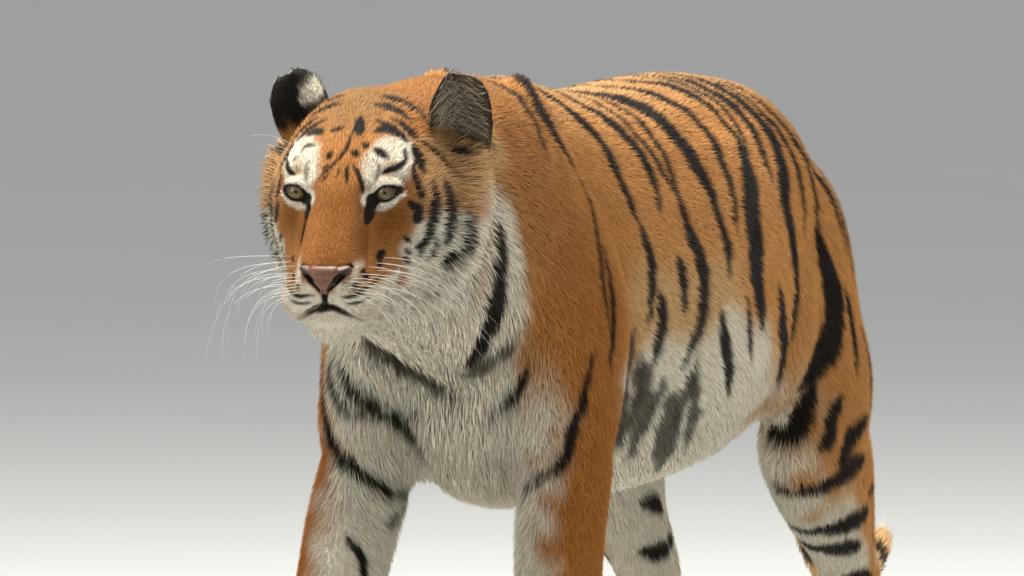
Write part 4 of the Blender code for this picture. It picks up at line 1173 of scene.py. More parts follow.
class Markings:
    """All strokes, and the colour that they and the ground give at any place."""

    def __init__(self, ground):
        lay = partial(lay_strokes, ground)
        one = (1.0,)
        self.white = lay("face", FACE_WHITE, taper=0.4, widen=1.1)
        self.white += lay("head", HEAD_WHITE, taper=0.4, widen=1.0)
        self.body = lay("trunk", TRUNK_STRIPES) + lay("side", SIDE_STRIPES)
        self.body += lay("quarter", QUARTER_STRIPES) + lay("front", FRONT_STRIPES[1:])
        self.body += lay("front", FRONT_RIGHT[1:], sides=one)
        for leg in AXES:
            self.body += lay(leg, FORE_BARS if leg[0] == "f" else HIND_BARS, sides=one)
        self.soft = lay("trunk", BELLY_STRIPES) + lay("front", FRONT_STRIPES[:1])
        self.soft += lay("front", FRONT_RIGHT[:1], sides=one)
        self.head = lay("face", FACE_LEFT, sides=one) + lay("face", FACE_RIGHT, sides=(-1.0,))
        self.head += lay("face", FACE_MID, sides=one) + lay("head", HEAD_STRIPES)
        self.smoke = lay("face", FACE_SMOKE)
        self.tail = np.array([(0.005, y, z) for y, z in TAIL_LINE])

    def ground_colour(self, p):
        """Orange, amber and white, before any stripe."""
        colour = np.tile(AMBER, (len(p), 1))
        mix = partial(paint, colour)
        wave = ripple(p, 0.16, 3)
        fine = ripple(p, 0.05, 8)
        x = np.abs(p[:, 0])
        y = p[:, 1]
        z = p[:, 2]
        h = to_head(p)
        leg = leg_of(p)
        deg = np.degrees(np.arctan2(x, z - AXIS_Z)) + 5.0 * wave
        body = (y > -0.52) & (y < 0.46) & (leg < 0)
        # deep rust on the shoulder and outer foreleg, straw low on the flank
        swing = np.where(p[:, 0] < 0.0, -0.05, 0.0)
        blade = np.exp(-((x - 0.17) ** 2 + (y + 0.55 - swing) ** 2 + ((z - 0.60) * 0.7) ** 2) / 0.15 ** 2)
        mix(RUST, blade * 0.85)
        mix(STRAW, 0.75 * step(62, 84, deg) * step(-0.46, -0.34, y) * (1.0 - step(-0.12, -0.02, y)))
        mix(STRAW, 0.45 * step(30, 0, deg) * body)
        neck = step(82, 40, np.abs(deg)) * step(-0.52, -0.64, y) * (h[:, 1] > 0.10) * (leg < 0)
        mix(NAPE, 0.9 * neck)
        # white belly, rising in front of the thigh
        edge = np.interp(y, *np.array(BELLY_EDGE).T)
        mix(WHITE, step(edge - 9.0, edge + 9.0, deg) * step(-0.56, -0.46, y) * (1.0 - step(0.20, 0.50, y)))
        # white throat and chest, bounded by a line that falls forward of the shoulder
        line = np.interp(z, *np.array(CHEST_EDGE).T)
        line = line + 0.010 * wave + 0.08 * step(0.09, 0.03, x)
        chest = step(0.022, -0.022, y - line) * (h[:, 1] > 0.10)
        chest = chest * step(-0.152, -0.134, p[:, 0]) * step(0.830, 0.775, z)
        under = step(0.56, 0.50, z) * (y < -0.44) * (x < 0.13)
        mix(WHITE, np.maximum(chest, under) * (leg < 0))
        # legs: orange outside, white inside and along the front
        for number, name in enumerate(AXES):
            on = leg == number
            if not on.any():
                continue
            t = (around_leg(p[on], name) + 90.0) % 360.0 - 90.0 + 8.0 * wave[on] + 12.0 * fine[on]
            high = z[on]
            front, back, deep, top, low = LEG_LOOKS[name]
            front = np.interp(high, *np.array(front).T)
            outer = step(front - 27.0, front + 27.0, t) * (1.0 - step(back - 24.0, back + 24.0, t))
            outer = outer * (1.0 - 0.50 * step(0.115, 0.045, high))
            tone = deep + (STRAW - deep) * (step(0.30, 0.12, high) * 0.45)[:, None]
            inner = WHITE * (1.0 - 0.12 * step(0.20, 0.0, high))[:, None]
            legs = inner + (tone - inner) * outer[:, None]
            colour[on] = colour[on] + (legs - colour[on]) * step(top, low, high)[:, None]
        # tail: paler under
        mix(CREAM, 0.5 * on_tail(p))
        # head: its tones darkened as painted shade, a rust nose bridge with painted shade beside it, white
        # lips, chin and throat
        on = on_head(h, 0.16, -0.22)
        # painted shade: the whole head a darker tawny, as if it took less light
        mix(TAWNY_SHADED, step(0.17, 0.08, h[:, 1]) * on)
        mix(CROWN, 0.9 * step(0.050, 0.080, h[:, 2]) * on)
        temple = step(0.070, 0.092, np.abs(h[:, 0])) * step(-0.075, -0.040, h[:, 2]) * (h[:, 1] < 0.24)
        mix(STRAW, 0.55 * temple)
        # the rust of the nose bridge, darkened as painted shade
        bridge = np.exp(-(h[:, 0] / 0.036) ** 2) * step(0.035, -0.02, h[:, 1]) * step(0.03, 0.0, h[:, 2])
        mix(BRIDGE_SHADED, 0.95 * bridge * on)
        # painted shade: dark umber in the crease beside the nose bridge, on the left side only
        shade = np.exp(-((h[:, 0] - 0.030 - 0.2 * np.maximum(-h[:, 2] - 0.01, 0.0)) / 0.008) ** 2)
        mix(UMBER, 0.55 * shade * step(0.030, 0.015, h[:, 2]) * step(-0.056, -0.040, h[:, 2]) * on)
        # the same darkened rust under each eye, partly painted shade
        under_eye = np.exp(-(((np.abs(h[:, 0]) - 0.062) / 0.03) ** 2 + ((h[:, 2] + 0.025) / 0.022) ** 2))
        mix(BRIDGE_SHADED, 0.85 * under_eye * on)
        lips = step(-0.074, -0.084, h[:, 2]) * (h[:, 1] < -0.03)
        chin = step(-0.100, -0.118, h[:, 2]) * (h[:, 1] < 0.13)
        mix(WHITE * 0.88, np.maximum(lips * 0.9, chin) * on)
        return colour, h

    def colour(self, p):
        """Linear colour at places p."""
        colour, h = self.ground_colour(p)
        # the edges of the marks waver a little
        rag = np.stack([ripple(p, 0.022, k) for k in (11, 12, 13)], axis=1) * 0.0022
        q = p + rag
        brush(q, colour, self.white, WHITE, 0.007, 0.95)
        slits = []
        for side in (1.0, -1.0):
            gap, d, front, u = slit(h, side)
            near = (np.linalg.norm(d, axis=1) < 0.045) & (front > 0.0)
            slits.append((gap, u, near))
            ring = step(0.0098, 0.0072, gap) * near * 0.92
            paint(colour, WHITE, ring)
        brush(q, colour, self.smoke, SMOKE, 0.003, 0.7)
        blot = np.stack([ripple(p, 0.030, k) for k in (14, 15, 16)], axis=1) * 0.006
        brush(p + blot, colour, self.soft, SMOKE, 0.007, 0.9)
        brush(q, colour, self.body, BLACK, 0.0030)
        brush(p + rag * 0.3, colour, self.head, BLACK, 0.0016)
        # tail rings and the dark tip
        s = along(p, self.tail)[1]
        on = on_tail(p)
        for k, ring in enumerate(TAIL_RINGS):
            half = 0.013 + 0.003 * math.sin(k * 1.9)
            paint(colour, BLACK, step(-0.004, 0.004, half - np.abs(s - ring)) * on)
        paint(colour, BLACK, step(0.885, 0.90, s) * on)
        # black lid rims and dark lips
        for gap, u, near in slits:
            wide = 0.0034 + 0.0018 * step(0.006, 0.014, np.abs(u))
            paint(colour, BLACK, step(0.0008, -0.0008, gap - wide) * near)
        paint(colour, LEATHER, step(0.0022, 0.0006, off_leather(h)))
        fade = 1.0 - 0.75 * step(0.020, 0.034, np.abs(h[:, 0]))
        for line in FACE_LINES["mouth"]:
            paint(colour, LIP, step(0.0056, 0.0026, along(h, line)[0]) * fade)
        return np.clip(colour, 0.0, 1.0)


# ---------------------------------------------------------------- materials
def finish_of(name, rough, scale, low, high, bump=0.0, distance=0.001, colour=None, coat=0.0, level=0.35):
    """A Principled material mottled by fine noise; without a colour it takes the mesh's own."""
    mat = bpy.data.materials.new(name)
    mat.use_nodes = True
    tree = mat.node_tree
    shader = tree.nodes["Principled BSDF"]

    def node(kind, **values):
        made = tree.nodes.new("ShaderNode" + kind)
        for key, value in values.items():
            made.inputs[key.replace("_", " ")].default_value = value
        return made

    for key, value in {"Roughness": rough, "Specular IOR Level": level, "Sheen Roughness": 0.45,
                       "Coat Weight": coat, "Coat Roughness": 0.03}.items():
        shader.inputs[key].default_value = value
    if colour is None:
        source = node("Attribute")
        source.attribute_name = "coat"
    else:
        source = node("RGB")
        source.outputs["Color"].default_value = (*colour, 1.0)
    where = node("TexCoord")
    noise = node("TexNoise", Scale=scale, Detail=4.0)
    spread = node("MapRange", To_Min=low, To_Max=high)
    mix = node("Mix", Factor=1.0)
    mix.data_type = "RGBA"
    mix.blend_type = "MULTIPLY"
    link = tree.links.new
    link(where.outputs["Object"], noise.inputs["Vector"])
    link(noise.outputs["Fac"], spread.inputs["Value"])
    link(source.outputs["Color"], mix.inputs["A"])
    link(spread.outputs["Result"], mix.inputs["B"])
    link(mix.outputs["Result"], shader.inputs["Base Color"])
    if bump:
        bumps = node("Bump", Strength=bump, Distance=distance)
        link(noise.outputs["Fac"], bumps.inputs["Height"])
        link(bumps.outputs["Normal"], shader.inputs["Normal"])
    return mat


FUR = finish_of("tiger_fur", 0.62, 260.0, 0.80, 1.20, 0.15, 0.0005, level=0.12)
HIDE = finish_of("tiger_skin", 0.70, 520.0, 0.62, 1.10, 0.55, 0.0012, level=0.12)


def tint(ob, colours):
    """Give a mesh its colour attribute."""
    layer = ob.data.attributes.new("coat", "FLOAT_COLOR", "POINT")
    rgba = np.ones((len(colours), 4), dtype=np.float32)
    rgba[:, :3] = colours
    layer.data.foreach_set("color", rgba.ravel())


def dress(ob, mat):
    """Material, slot and body of a piece."""
    ob.data.materials.clear()
    ob.data.materials.append(mat)
    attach(ob, "root")


# ---------------------------------------------------------------- the coat
PATCH = 0.003           # size of a tuft's patch on the unwrap
SINK = 0.0012           # how deep a root goes at most
OFF_FLOOR = 0.0004      # lowest place of a tuft
# A straight tuft and one with a bend: triangles; shares of its length where colour is
# sampled; then for each vertex its sample, its painted shade and light (darker root, lighter tip) and its
# place on the patch
SHORT = {
    "at": (0.45, 0.95),
    "faces": ((0, 2, 3), (2, 1, 3), (1, 0, 3), (0, 1, 2)),
    "sample": (0, 0, 0, 1),
    "shade": (0.80, 0.80, 0.88, 1.10),
    "spot": ((0.0, 0.0), (1.0, 0.0), (0.5, 0.2), (0.5, 1.0)),
}
LONG = {
    "at": (0.2, 0.55, 0.9),
    "faces": ((0, 2, 5), (0, 5, 3), (2, 1, 4), (2, 4, 5), (1, 0, 3), (1, 3, 4),
              (3, 5, 6), (5, 4, 6), (4, 3, 6), (0, 1, 2)),
    "sample": (0, 0, 0, 1, 1, 1, 2),
    "shade": (0.72, 0.72, 0.78, 0.95, 0.95, 1.0, 1.12),
    "spot": ((0.0, 0.0), (1.0, 0.0), (0.5, 0.1), (0.1, 0.5), (0.9, 0.5), (0.5, 0.6), (0.5, 1.0)),
}


def unwrap(p):
    """Place on an unwrap of the skin: sheets for the trunk, the head, each leg and the tail."""
    uv = np.zeros((len(p), 2))
    deg = np.degrees(np.arctan2(p[:, 0], p[:, 2] - AXIS_Z))
    uv[:, 0] = 0.02 + 0.56 * np.clip((p[:, 1] + 1.05) / 1.65, 0.0, 1.0)
    uv[:, 1] = 0.02 + 0.56 * (deg + 180.0) / 360.0
    h = to_head(p)
    on = on_head(h)
    q = h[on] - SKULL_MID
    uv[on, 0] = 0.62 + 0.36 * (np.degrees(np.arctan2(q[:, 0], -q[:, 1])) + 180.0) / 360.0
    uv[on, 1] = 0.02 + 0.36 * (np.degrees(np.arctan2(q[:, 2], np.hypot(q[:, 0], q[:, 1]))) + 90.0) / 180.0
    leg = leg_of(p)
    for number, name in enumerate(AXES):
        on = leg == number
        uv[on, 0] = 0.02 + 0.24 * number + 0.21 * around_leg(p[on], name) / 360.0
        uv[on, 1] = 0.62 + 0.34 * np.clip(p[on, 2] / 0.80, 0.0, 1.0)
    on = (p[:, 1] > 0.50) & (np.abs(p[:, 0]) < 0.05) & (leg < 0)
    uv[on, 0] = 0.62 + 0.34 * np.clip((1.10 - p[on, 2] + p[on, 1]) / 1.9, 0.0, 1.0)
    uv[on, 1] = 0.42 + 0.16 * (np.degrees(np.arctan2(p[on, 0], p[on, 2] % 0.07)) + 180.0) / 360.0
    return uv


def scatter(v, t, n, crowd):
    """Even random places on triangles; crowd(places) is tufts per square metre."""
    a = v[t[:, 0]]
    b = v[t[:, 1]]
    c = v[t[:, 2]]
    area = 0.5 * np.linalg.norm(np.cross(b - a, c - a), axis=1)
    total = np.cumsum(area * crowd((a + b + c) / 3.0))
    count = int(total[-1])
    pick = np.searchsorted(total, (np.arange(count) + rng.random(count)) * total[-1] / count)
    pick = np.minimum(pick, len(t) - 1)
    s = np.sqrt(rng.random(count))
    r = rng.random(count)
    w = np.stack([1.0 - s, s * (1.0 - r), s * r], axis=1)
    where = (v[t[pick]] * w[:, :, None]).sum(axis=1)
    out = unit((n[t[pick]] * w[:, :, None]).sum(axis=1))
    return where, out


def tuft_mesh(name, root, out, way, length, width, rise, colour, bend=False):
    """One mesh of many closed tufts: a three-sided blade from each root to its tip."""
    kind = LONG if bend else SHORT
    count = len(root)
    side = unit(np.cross(way, out))
    lift = np.arcsin(np.clip(rise / length, 0.0, 0.85))
    lean = way * np.cos(lift)[:, None] + out * np.sin(lift)[:, None]
    base = root - out * np.minimum(SINK, rise * 0.4)[:, None]
    half = side * (width / 2.0)[:, None]
    ridge = out * (width * 0.34)[:, None]
    tip = base + lean * length[:, None]
    rings = [base - half, base + half, base + ridge]
    if bend:
        # long hair leaves the skin steeply, then lies down
        steep = np.arcsin(np.clip(1.5 * rise / length, 0.0, 0.85))
        mid = base + (way * np.cos(steep)[:, None] + out * np.sin(steep)[:, None]) * (length * 0.5)[:, None]
        rings += [mid - half * 0.75, mid + half * 0.75, mid + ridge * 0.9]
    verts = np.stack(rings + [tip], axis=1)
    each = verts.shape[1]
    verts[:, :, 2] = np.maximum(verts[:, :, 2], OFF_FLOOR)
    tris = (np.array(kind["faces"])[None] + (np.arange(count) * each)[:, None, None]).reshape(-1, 3)
    mesh = bpy.data.meshes.new(name)
    mesh.vertices.add(count * each)
    mesh.vertices.foreach_set("co", (verts.reshape(-1, 3) + np.array(MOVE)).astype(np.float32).ravel())
    mesh.loops.add(tris.size)
    mesh.loops.foreach_set("vertex_index", tris.astype(np.int32).ravel())
    mesh.polygons.add(len(tris))
    mesh.polygons.foreach_set("loop_start", np.arange(0, tris.size, 3, dtype=np.int32))
    mesh.polygons.foreach_set("use_smooth", np.ones(len(tris), dtype=bool))
    mesh.update(calc_edges=True)
    ob = stand(name, mesh)
    # painted shade and light: each tuft darker at its root and lighter at its tip
    looks = colour[:, kind["sample"], :] * np.array(kind["shade"])[None, :, None]
    tint(ob, np.clip(looks.reshape(-1, 3), 0.0, 1.0))
    uv = (unwrap(root)[:, None, :] + np.array(kind["spot"])[None] * PATCH).reshape(-1, 2)
    layer = mesh.uv_layers.new(name="OFBake")
    layer.data.foreach_set("uv", uv[tris.ravel()].astype(np.float32).ravel())
    dress(ob, FUR)
    return ob


PIECE_TUFTS = 48000     # straight tufts in one piece, at four triangles each
LONG_SHARE = 0.4        # as many tufts with a bend, at ten triangles each


def grow(name, root, out, way, length, width, rise, marks, bend=False):
    """Tufts in as many pieces as their number needs, coloured by the markings."""
    stray = rng.uniform(-0.10, 0.10, len(root))
    colour = np.stack([marks.colour(root + way * (length * (part + stray))[:, None])
                       for part in (LONG if bend else SHORT)["at"]], axis=1)
    if not bend:
        # only the outer half shows, so the root carries the change of colour on backwards
        colour[:, 0] = np.clip(1.6 * colour[:, 0] - 0.6 * colour[:, 1], 0.0, 1.0)
    colour = colour * rng.uniform(0.80, 1.18, len(root))[:, None, None]
    most = PIECE_TUFTS if not bend else int(PIECE_TUFTS * LONG_SHARE)
    pieces = max(1, math.ceil(len(root) / most))
    order = np.argsort(root[:, 1], kind="stable")
    for k, idx in enumerate(np.array_split(order, pieces)):
        label = name if pieces == 1 else "%s_%d" % (name, k + 1)
        tuft_mesh(label, root[idx], out[idx], way[idx], length[idx], width[idx], rise[idx],
                  colour[idx], bend)


def comb(root, out, lie, stray):
    """The lie of the hair along the skin, with waves and strays."""
    side = np.cross(out, lie)
    waves = ripple(root, 0.05, 21) * 0.13 + ripple(root, 0.014, 22) * 0.12
    turn = waves + rng.normal(0.0, stray, len(root))
    way = lie - out * (lie * out).sum(axis=1)[:, None]
    return unit(unit(way) + side * np.tan(np.clip(turn, -1.0, 1.0))[:, None])


# Hair length and tufts per square metre; tuft length and width
CROWD = ((0.005, 380e3), (0.008, 280e3), (0.012, 175e3), (0.018, 120e3), (0.026, 95e3),
         (0.035, 88e3), (0.050, 76e3))
WIDTHS = ((0.004, 0.0012), (0.010, 0.0017), (0.020, 0.0025), (0.035, 0.0029), (0.060, 0.0031))
LONG_HAIR = 0.034       # tufts longer than this have a bend


def crowd(p):
    """Tufts per square metre: closest on the face and feet."""
    length = coat_at(p)[1]
    per = np.interp(length, *np.array(CROWD).T)
    h = to_head(p)
    for side in (1.0, -1.0):
        gap, d, front, _ = slit(h, side)
        near = (np.linalg.norm(d, axis=1) < 0.040) & (front > 0.0)
        per = per * np.where(near, step(0.0036, 0.0052, gap), 1.0)
    per = per * step(0.0002, 0.0022, off_leather(h))
    for line in FACE_LINES["mouth"]:
        per = per * step(0.0014, 0.0028, along(h, line)[0])
    return per * step(0.002, 0.008, p[:, 2])


def grow_body(skin, marks):
    """The coat of everything but the ears."""
    v, t, n = read_mesh(skin)
    root, out = scatter(v, t, n, crowd)
    lie, length, depth = coat_at(root)
    way = comb(root, out, lie, 0.09)
    length = length * rng.uniform(0.78, 1.15, len(root))
    width = np.interp(length, *np.array(WIDTHS).T)
    width = width * rng.uniform(0.8, 1.2, len(root))
    rise = depth * rng.uniform(0.45, 1.0, len(root))
    head = on_head(to_head(root))
    long = (length > LONG_HAIR) & (rng.random(len(root)) < 0.9)
    leg = leg_of(root)
    for name, chosen in (
            ("coat_head", head & ~long), ("coat_ruff", head & long),
            ("coat_body", ~head & ~long & (leg < 0)), ("coat_chest", ~head & long),
            ("coat_fore_legs", ~head & ~long & ((leg == 0) | (leg == 1))),
            ("coat_hind_legs", ~head & ~long & (leg > 1))):
        bend = name in ("coat_ruff", "coat_chest")
        i = np.nonzero(chosen)[0]
        grow(name, root[i], out[i], way[i], length[i], width[i], rise[i], marks, bend)


EAR_HAIR = np.array((0.46, 0.41, 0.30))     # loose hair in the cup
EAR_CUP = np.array((0.17, 0.135, 0.085))
WIDTHS_UP = np.array(EAR_WIDTHS).T * np.array([[EAR_TALL], [1.0]])
EAR_SPOT = (0.016, 0.74, 0.024, 0.011)      # across, share of the height, half width and height


class EarMarks:
    """Colours of an ear: black back with a white spot, dark cup with a black rim, pale long hair."""

    def __init__(self, tag, inside, pale=False):
        self.back = np.array(ear_place(*EARS[tag]).inverted())
        self.side = 1.0 if tag == "left" else -1.0
        self.inside = inside
        self.pale = pale

    def colour(self, p):
        """Linear colour at places p."""
        q = p @ self.back[:3, :3].T + self.back[:3, 3]
        across = q[:, 0]
        high = q[:, 2] / EAR_TALL
        if self.pale:
            return np.tile(EAR_HAIR, (len(p), 1))
        if self.inside:
            colour = np.tile(EAR_CUP, (len(p), 1))
            # the rim is told by the outline's widths at the height in metres
            rim = step(0.75, 0.98, np.abs(across) / np.interp(q[:, 2], *WIDTHS_UP))
            rim = np.maximum(rim, step(0.88, 1.0, high))
            paint(colour, BLACK * 2.0, 0.8 * rim)
            paint(colour, CREAM, 0.4 * step(0.35, 0.05, high))
            return colour
        colour = np.tile(BLACK, (len(p), 1))
        out, up, wide, tall = EAR_SPOT
        spot = ((across - out * self.side) / wide) ** 2 + ((q[:, 2] - EAR_TALL * up) / tall) ** 2
        paint(colour, WHITE, step(1.25, 0.75, spot + 0.25 * ripple(p, 0.012, 31)))
        paint(colour, AMBER, step(0.54, 0.42, high + 0.05 * ripple(p, 0.02, 32)))
        return colour


# An ear's coats: name, inside, tufts per square metre, length, rise, how far the tufts turn inward
EAR_COATS = (("back", False, 200e3, 0.011, 0.0025, 0.0),
             ("cup", True, 90e3, 0.012, 0.0030, 0.0),
             ("cup_long", True, 26e3, 0.032, 0.0130, 0.9))


def grow_ear(tag, ob, first_back):
    """Short fur on an ear's back and rim, long loose hair in its cup."""
    place = ear_place(*EARS[tag])
    turn = np.array(place.to_3x3())
    v, t, n = read_mesh(ob)
    behind = (t >= first_back).all(axis=1)
    up = turn @ np.array([0.0, 0.0, 1.0])
    for name, inside, per, size, high, skew in EAR_COATS:
        root, out = scatter(v, t[~behind if inside else behind], n, lambda p: np.full(len(p), per))
        q = (root - np.array(place.translation)) @ turn
        sweep = np.outer(np.sign(-q[:, 0] + 1e-6), turn @ np.array([1.0, 0.0, 0.0])) * skew
        way = comb(root, out, unit(up + sweep), 0.16)
        count = len(root)
        length = size * rng.uniform(0.7, 1.2, count)
        near_tip = np.clip((EAR_TALL - q[:, 2]) / 0.03, 0.25, 1.0)
        length = length * near_tip
        width = np.full(count, 0.0014 if not skew else 0.0011)
        rise = high * near_tip * rng.uniform(0.5, 1.0, count)
        grow("coat_ear_%s_%s" % (tag, name), root, out, way, length, width, rise,
             EarMarks(tag, inside, bool(skew)), bool(skew))


# ---------------------------------------------------------------- eyes, nose, claws, whiskers
GAZE = (3.0, 23.0)     # degrees to the left and up of straight ahead, in head space
IRIS_R = 0.0110
PUPIL_R = 0.0023
BULGE = 0.0010          # how far the clear front stands out
EYE_ROUND = 72          # points round a ring of the eyeball
PUPIL = np.array((0.004, 0.004, 0.004))
IRIS_IN = np.array((0.150, 0.112, 0.026))
IRIS_OUT = np.array((0.060, 0.044, 0.013))
SCLERA = np.array((0.030, 0.020, 0.015))


def eye_colour(f, across, front):
    """Colour of an eyeball at angle f round the gaze and that far from its line."""
    shade = (across - PUPIL_R) / (IRIS_R - PUPIL_R)
    if shade < 0.0:
        return PUPIL
    if shade >= 1.0 or not front:
        return SCLERA
    streak = 0.5 + 0.5 * math.sin(f * 9.0 + 2.0 * math.sin(f * 4.0)) * math.sin(f * 17.0)
    colour = IRIS_IN + (IRIS_OUT - IRIS_IN) * min(1.0, shade * 1.25)
    # the upper lid shades the top, and a dark ring closes the iris
    colour = colour * (0.78 + 0.34 * streak) * (1.0 - 0.55 * max(0.0, math.sin(f)) ** 2 * shade)
    return colour * (1.0 - 0.93 * max(0.0, (shade - 0.86) / 0.14))


def build_eye(side, tag):
    """Eyeball of fine rings round the gaze, with iris, pupil and a clear bulge."""
    centre = eye_axes(side)[0]
    look = bearing(*GAZE)
    right = unit(np.cross(look, np.array([0.0, 0.0, 1.0])))
    up = np.cross(right, look)
    bm = bmesh.new()
    rings = []
    colours = [PUPIL]
    first = bm.verts.new(from_head(centre + look * (EYE_R + BULGE)))
    for a in np.radians([*np.linspace(1.5, 60.0, 40), *np.linspace(66.0, 174.0, 19)]):
        r = EYE_R + BULGE * math.exp(-(a / math.radians(30.0)) ** 4)
        across = r * math.sin(a)
        ring = []
        for k in range(EYE_ROUND):
            f = 2.0 * math.pi * k / EYE_ROUND
            p = centre + look * r * math.cos(a) + (right * math.cos(f) + up * math.sin(f)) * across
            ring.append(bm.verts.new(from_head(p)))
            colours.append(eye_colour(f, across, a < math.pi / 2.0))
        rings.append(ring)
    last = bm.verts.new(from_head(centre - look * EYE_R))
    colours.append(SCLERA)
    for k in range(EYE_ROUND):
        j = (k + 1) % EYE_ROUND
        bm.faces.new((first, rings[0][k], rings[0][j]))
        bm.faces.new((last, rings[-1][j], rings[-1][k]))
        for a, b in zip(rings, rings[1:]):
            bm.faces.new((a[k], b[k], b[j], a[j]))
    bmesh.ops.recalc_face_normals(bm, faces=bm.faces)
    ob = keep(bm, "eyeball_" + tag)
    ob.data.shade_smooth()
    ob.data.transform(Matrix.Translation(MOVE))
    tint(ob, np.array(colours))
    dress(ob, finish_of("eye_" + tag, 0.12, 900.0, 0.80, 1.20, coat=0.5, level=0.3))
    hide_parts("eye_" + tag)


NOSTRIL = [(0.9, -7.1), (1.5, -6.6), (2.2, -6.0), (2.9, -5.3)]     # cm outward, cm up, from in front
NOSTRIL_SIZE = ((0.006, 0.0042), (0.014, 0.0088), (0.022, 0.0118), (0.030, 0.0102))   # outward, radius
NOSE_VOXEL = 0.0011
PINK = np.array((0.155, 0.062, 0.032))
NOSE_DARK = np.array((0.018, 0.011, 0.010))


def build_nose():
    """Nose leather: broad above, a narrow foot, and a comma nostril on each side."""
    balls = [
        ball((0.0, -0.107, -0.0565), (0.031, 0.0155, 0.0115), "leather", turn=(-20.0, 0.0, 0.0), frame=HEAD),
        ball((0.0, -0.1115, -0.064), (0.0205, 0.0130, 0.0115), "leather_mid", frame=HEAD),
        ball((0.0, -0.1125, -0.071), (0.0090, 0.0105, 0.0090), "leather_low", frame=HEAD),
    ]
    for side, _ in SIDES:
        balls.append(ball((side * 0.0225, -0.1070, -0.0530), (0.0105, 0.0125, 0.0072), "wing",
                          turn=(-10.0, side * -12.0, 0.0), frame=HEAD))
    ob = remesh(fuse(balls, "nose_leather"), NOSE_VOXEL)
    soften(ob, 6)
    v, t, n = read_mesh(ob)
    h = to_head(v)
    nh = n @ HEAD_TURN
    hole = np.zeros(len(v))
    leather = Ground(v, t)
    for side, _ in SIDES:
        line = [leather.place("face", x, z, side) for x, z in spline(NOSTRIL, 6)]
        away = along(h, to_head(np.array([spot for spot in line if spot is not None])))[0]
        size = np.interp(np.abs(h[:, 0]), *np.array(NOSTRIL_SIZE).T)
        hole = np.maximum(hole, np.exp(-(away / size) ** 2))
    groove = np.exp(-(h[:, 0] / 0.0012) ** 2) * step(-0.064, -0.072, h[:, 2])
    h = h - nh * (0.0070 * hole + 0.0012 * groove)[:, None]
    write_verts(ob, from_head(h) + np.array(MOVE))
    rim = np.maximum(step(0.20, 0.55, hole), step(0.024, 0.032, np.abs(h[:, 0])) * 0.85)
    rim = np.maximum(rim, step(-0.070, -0.079, h[:, 2]) * 0.7)
    rim = np.maximum(rim, groove * 0.8)
    colour = PINK + (NOSE_DARK - PINK) * rim[:, None]
    colour = colour * (1.0 + 0.15 * ripple(v, 0.006, 41))[:, None]
    ob.data.shade_smooth()
    tint(ob, np.clip(colour, 0.0, 1.0))
    dress(ob, finish_of("nose_hide", 0.42, 700.0, 0.85, 1.15, 0.5, 0.0006, level=0.45))
    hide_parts("nose")


CLAW_RINGS = 9
CLAW_WIDE = 0.0028      # half width and half height at the root, and radius of the tip
CLAW_TALL = 0.0048
CLAW_TIP = 0.0002


def build_claws():
    """A curved, pointed claw in place of each plain one."""
    mat = finish_of("claw_horn", 0.35, 300.0, 0.7, 1.15, 0.2, 0.0004, colour=(0.42, 0.36, 0.26), level=0.5)
    for node in sorted(frame["nodes"]):
        if "claw" not in node:
            continue
        low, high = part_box(node)
        mid = (low + high) / 2.0
        rings = []
        for k in range(CLAW_RINGS):
            s = k / (CLAW_RINGS - 1.0)
            a = math.radians(-25.0 + 80.0 * s)
            at = mid + Vector((0.0, 0.006 - 0.016 * math.sin(a), -0.004 + 0.011 * math.cos(a) - 0.003))
            thin = (1.0 - s) ** 0.7
            cross = Vector((0.0, math.sin(a), -math.cos(a)))
            rings.append([at + Vector((1.0, 0.0, 0.0)) * (CLAW_WIDE * thin + CLAW_TIP) * math.cos(f)
                          + cross * (CLAW_TALL * thin + CLAW_TIP) * math.sin(f)
                          for f in (2.0 * math.pi * i / 10 for i in range(10))])
        ob = skin_rings(rings, "horn_" + node)
        ob.data.shade_smooth()
        dress(ob, mat)
        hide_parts(node)


WHISKER_ROWS = 4
WHISKERS = 6            # in each row
WHISKER_R = 0.00042     # at the root
BROW_HAIRS = 4
BROW_HAIR_R = 0.0003


def whisker(line, radius):
    """Thin tapered tube along a curve."""
    rings = []
    for k, p in enumerate(line):
        run = Vector(line[min(k + 1, len(line) - 1)] - line[max(k - 1, 0)]).normalized()
        a = run.orthogonal().normalized()
        b = run.cross(a)
        r = radius * (1.0 - 0.85 * k / (len(line) - 1))
        rings.append([Vector(p) + (a * math.cos(f) + b * math.sin(f)) * r
                      for f in (2.0 * math.pi * i / 5 for i in range(5))])
    return skin_rings(rings, "whisker")


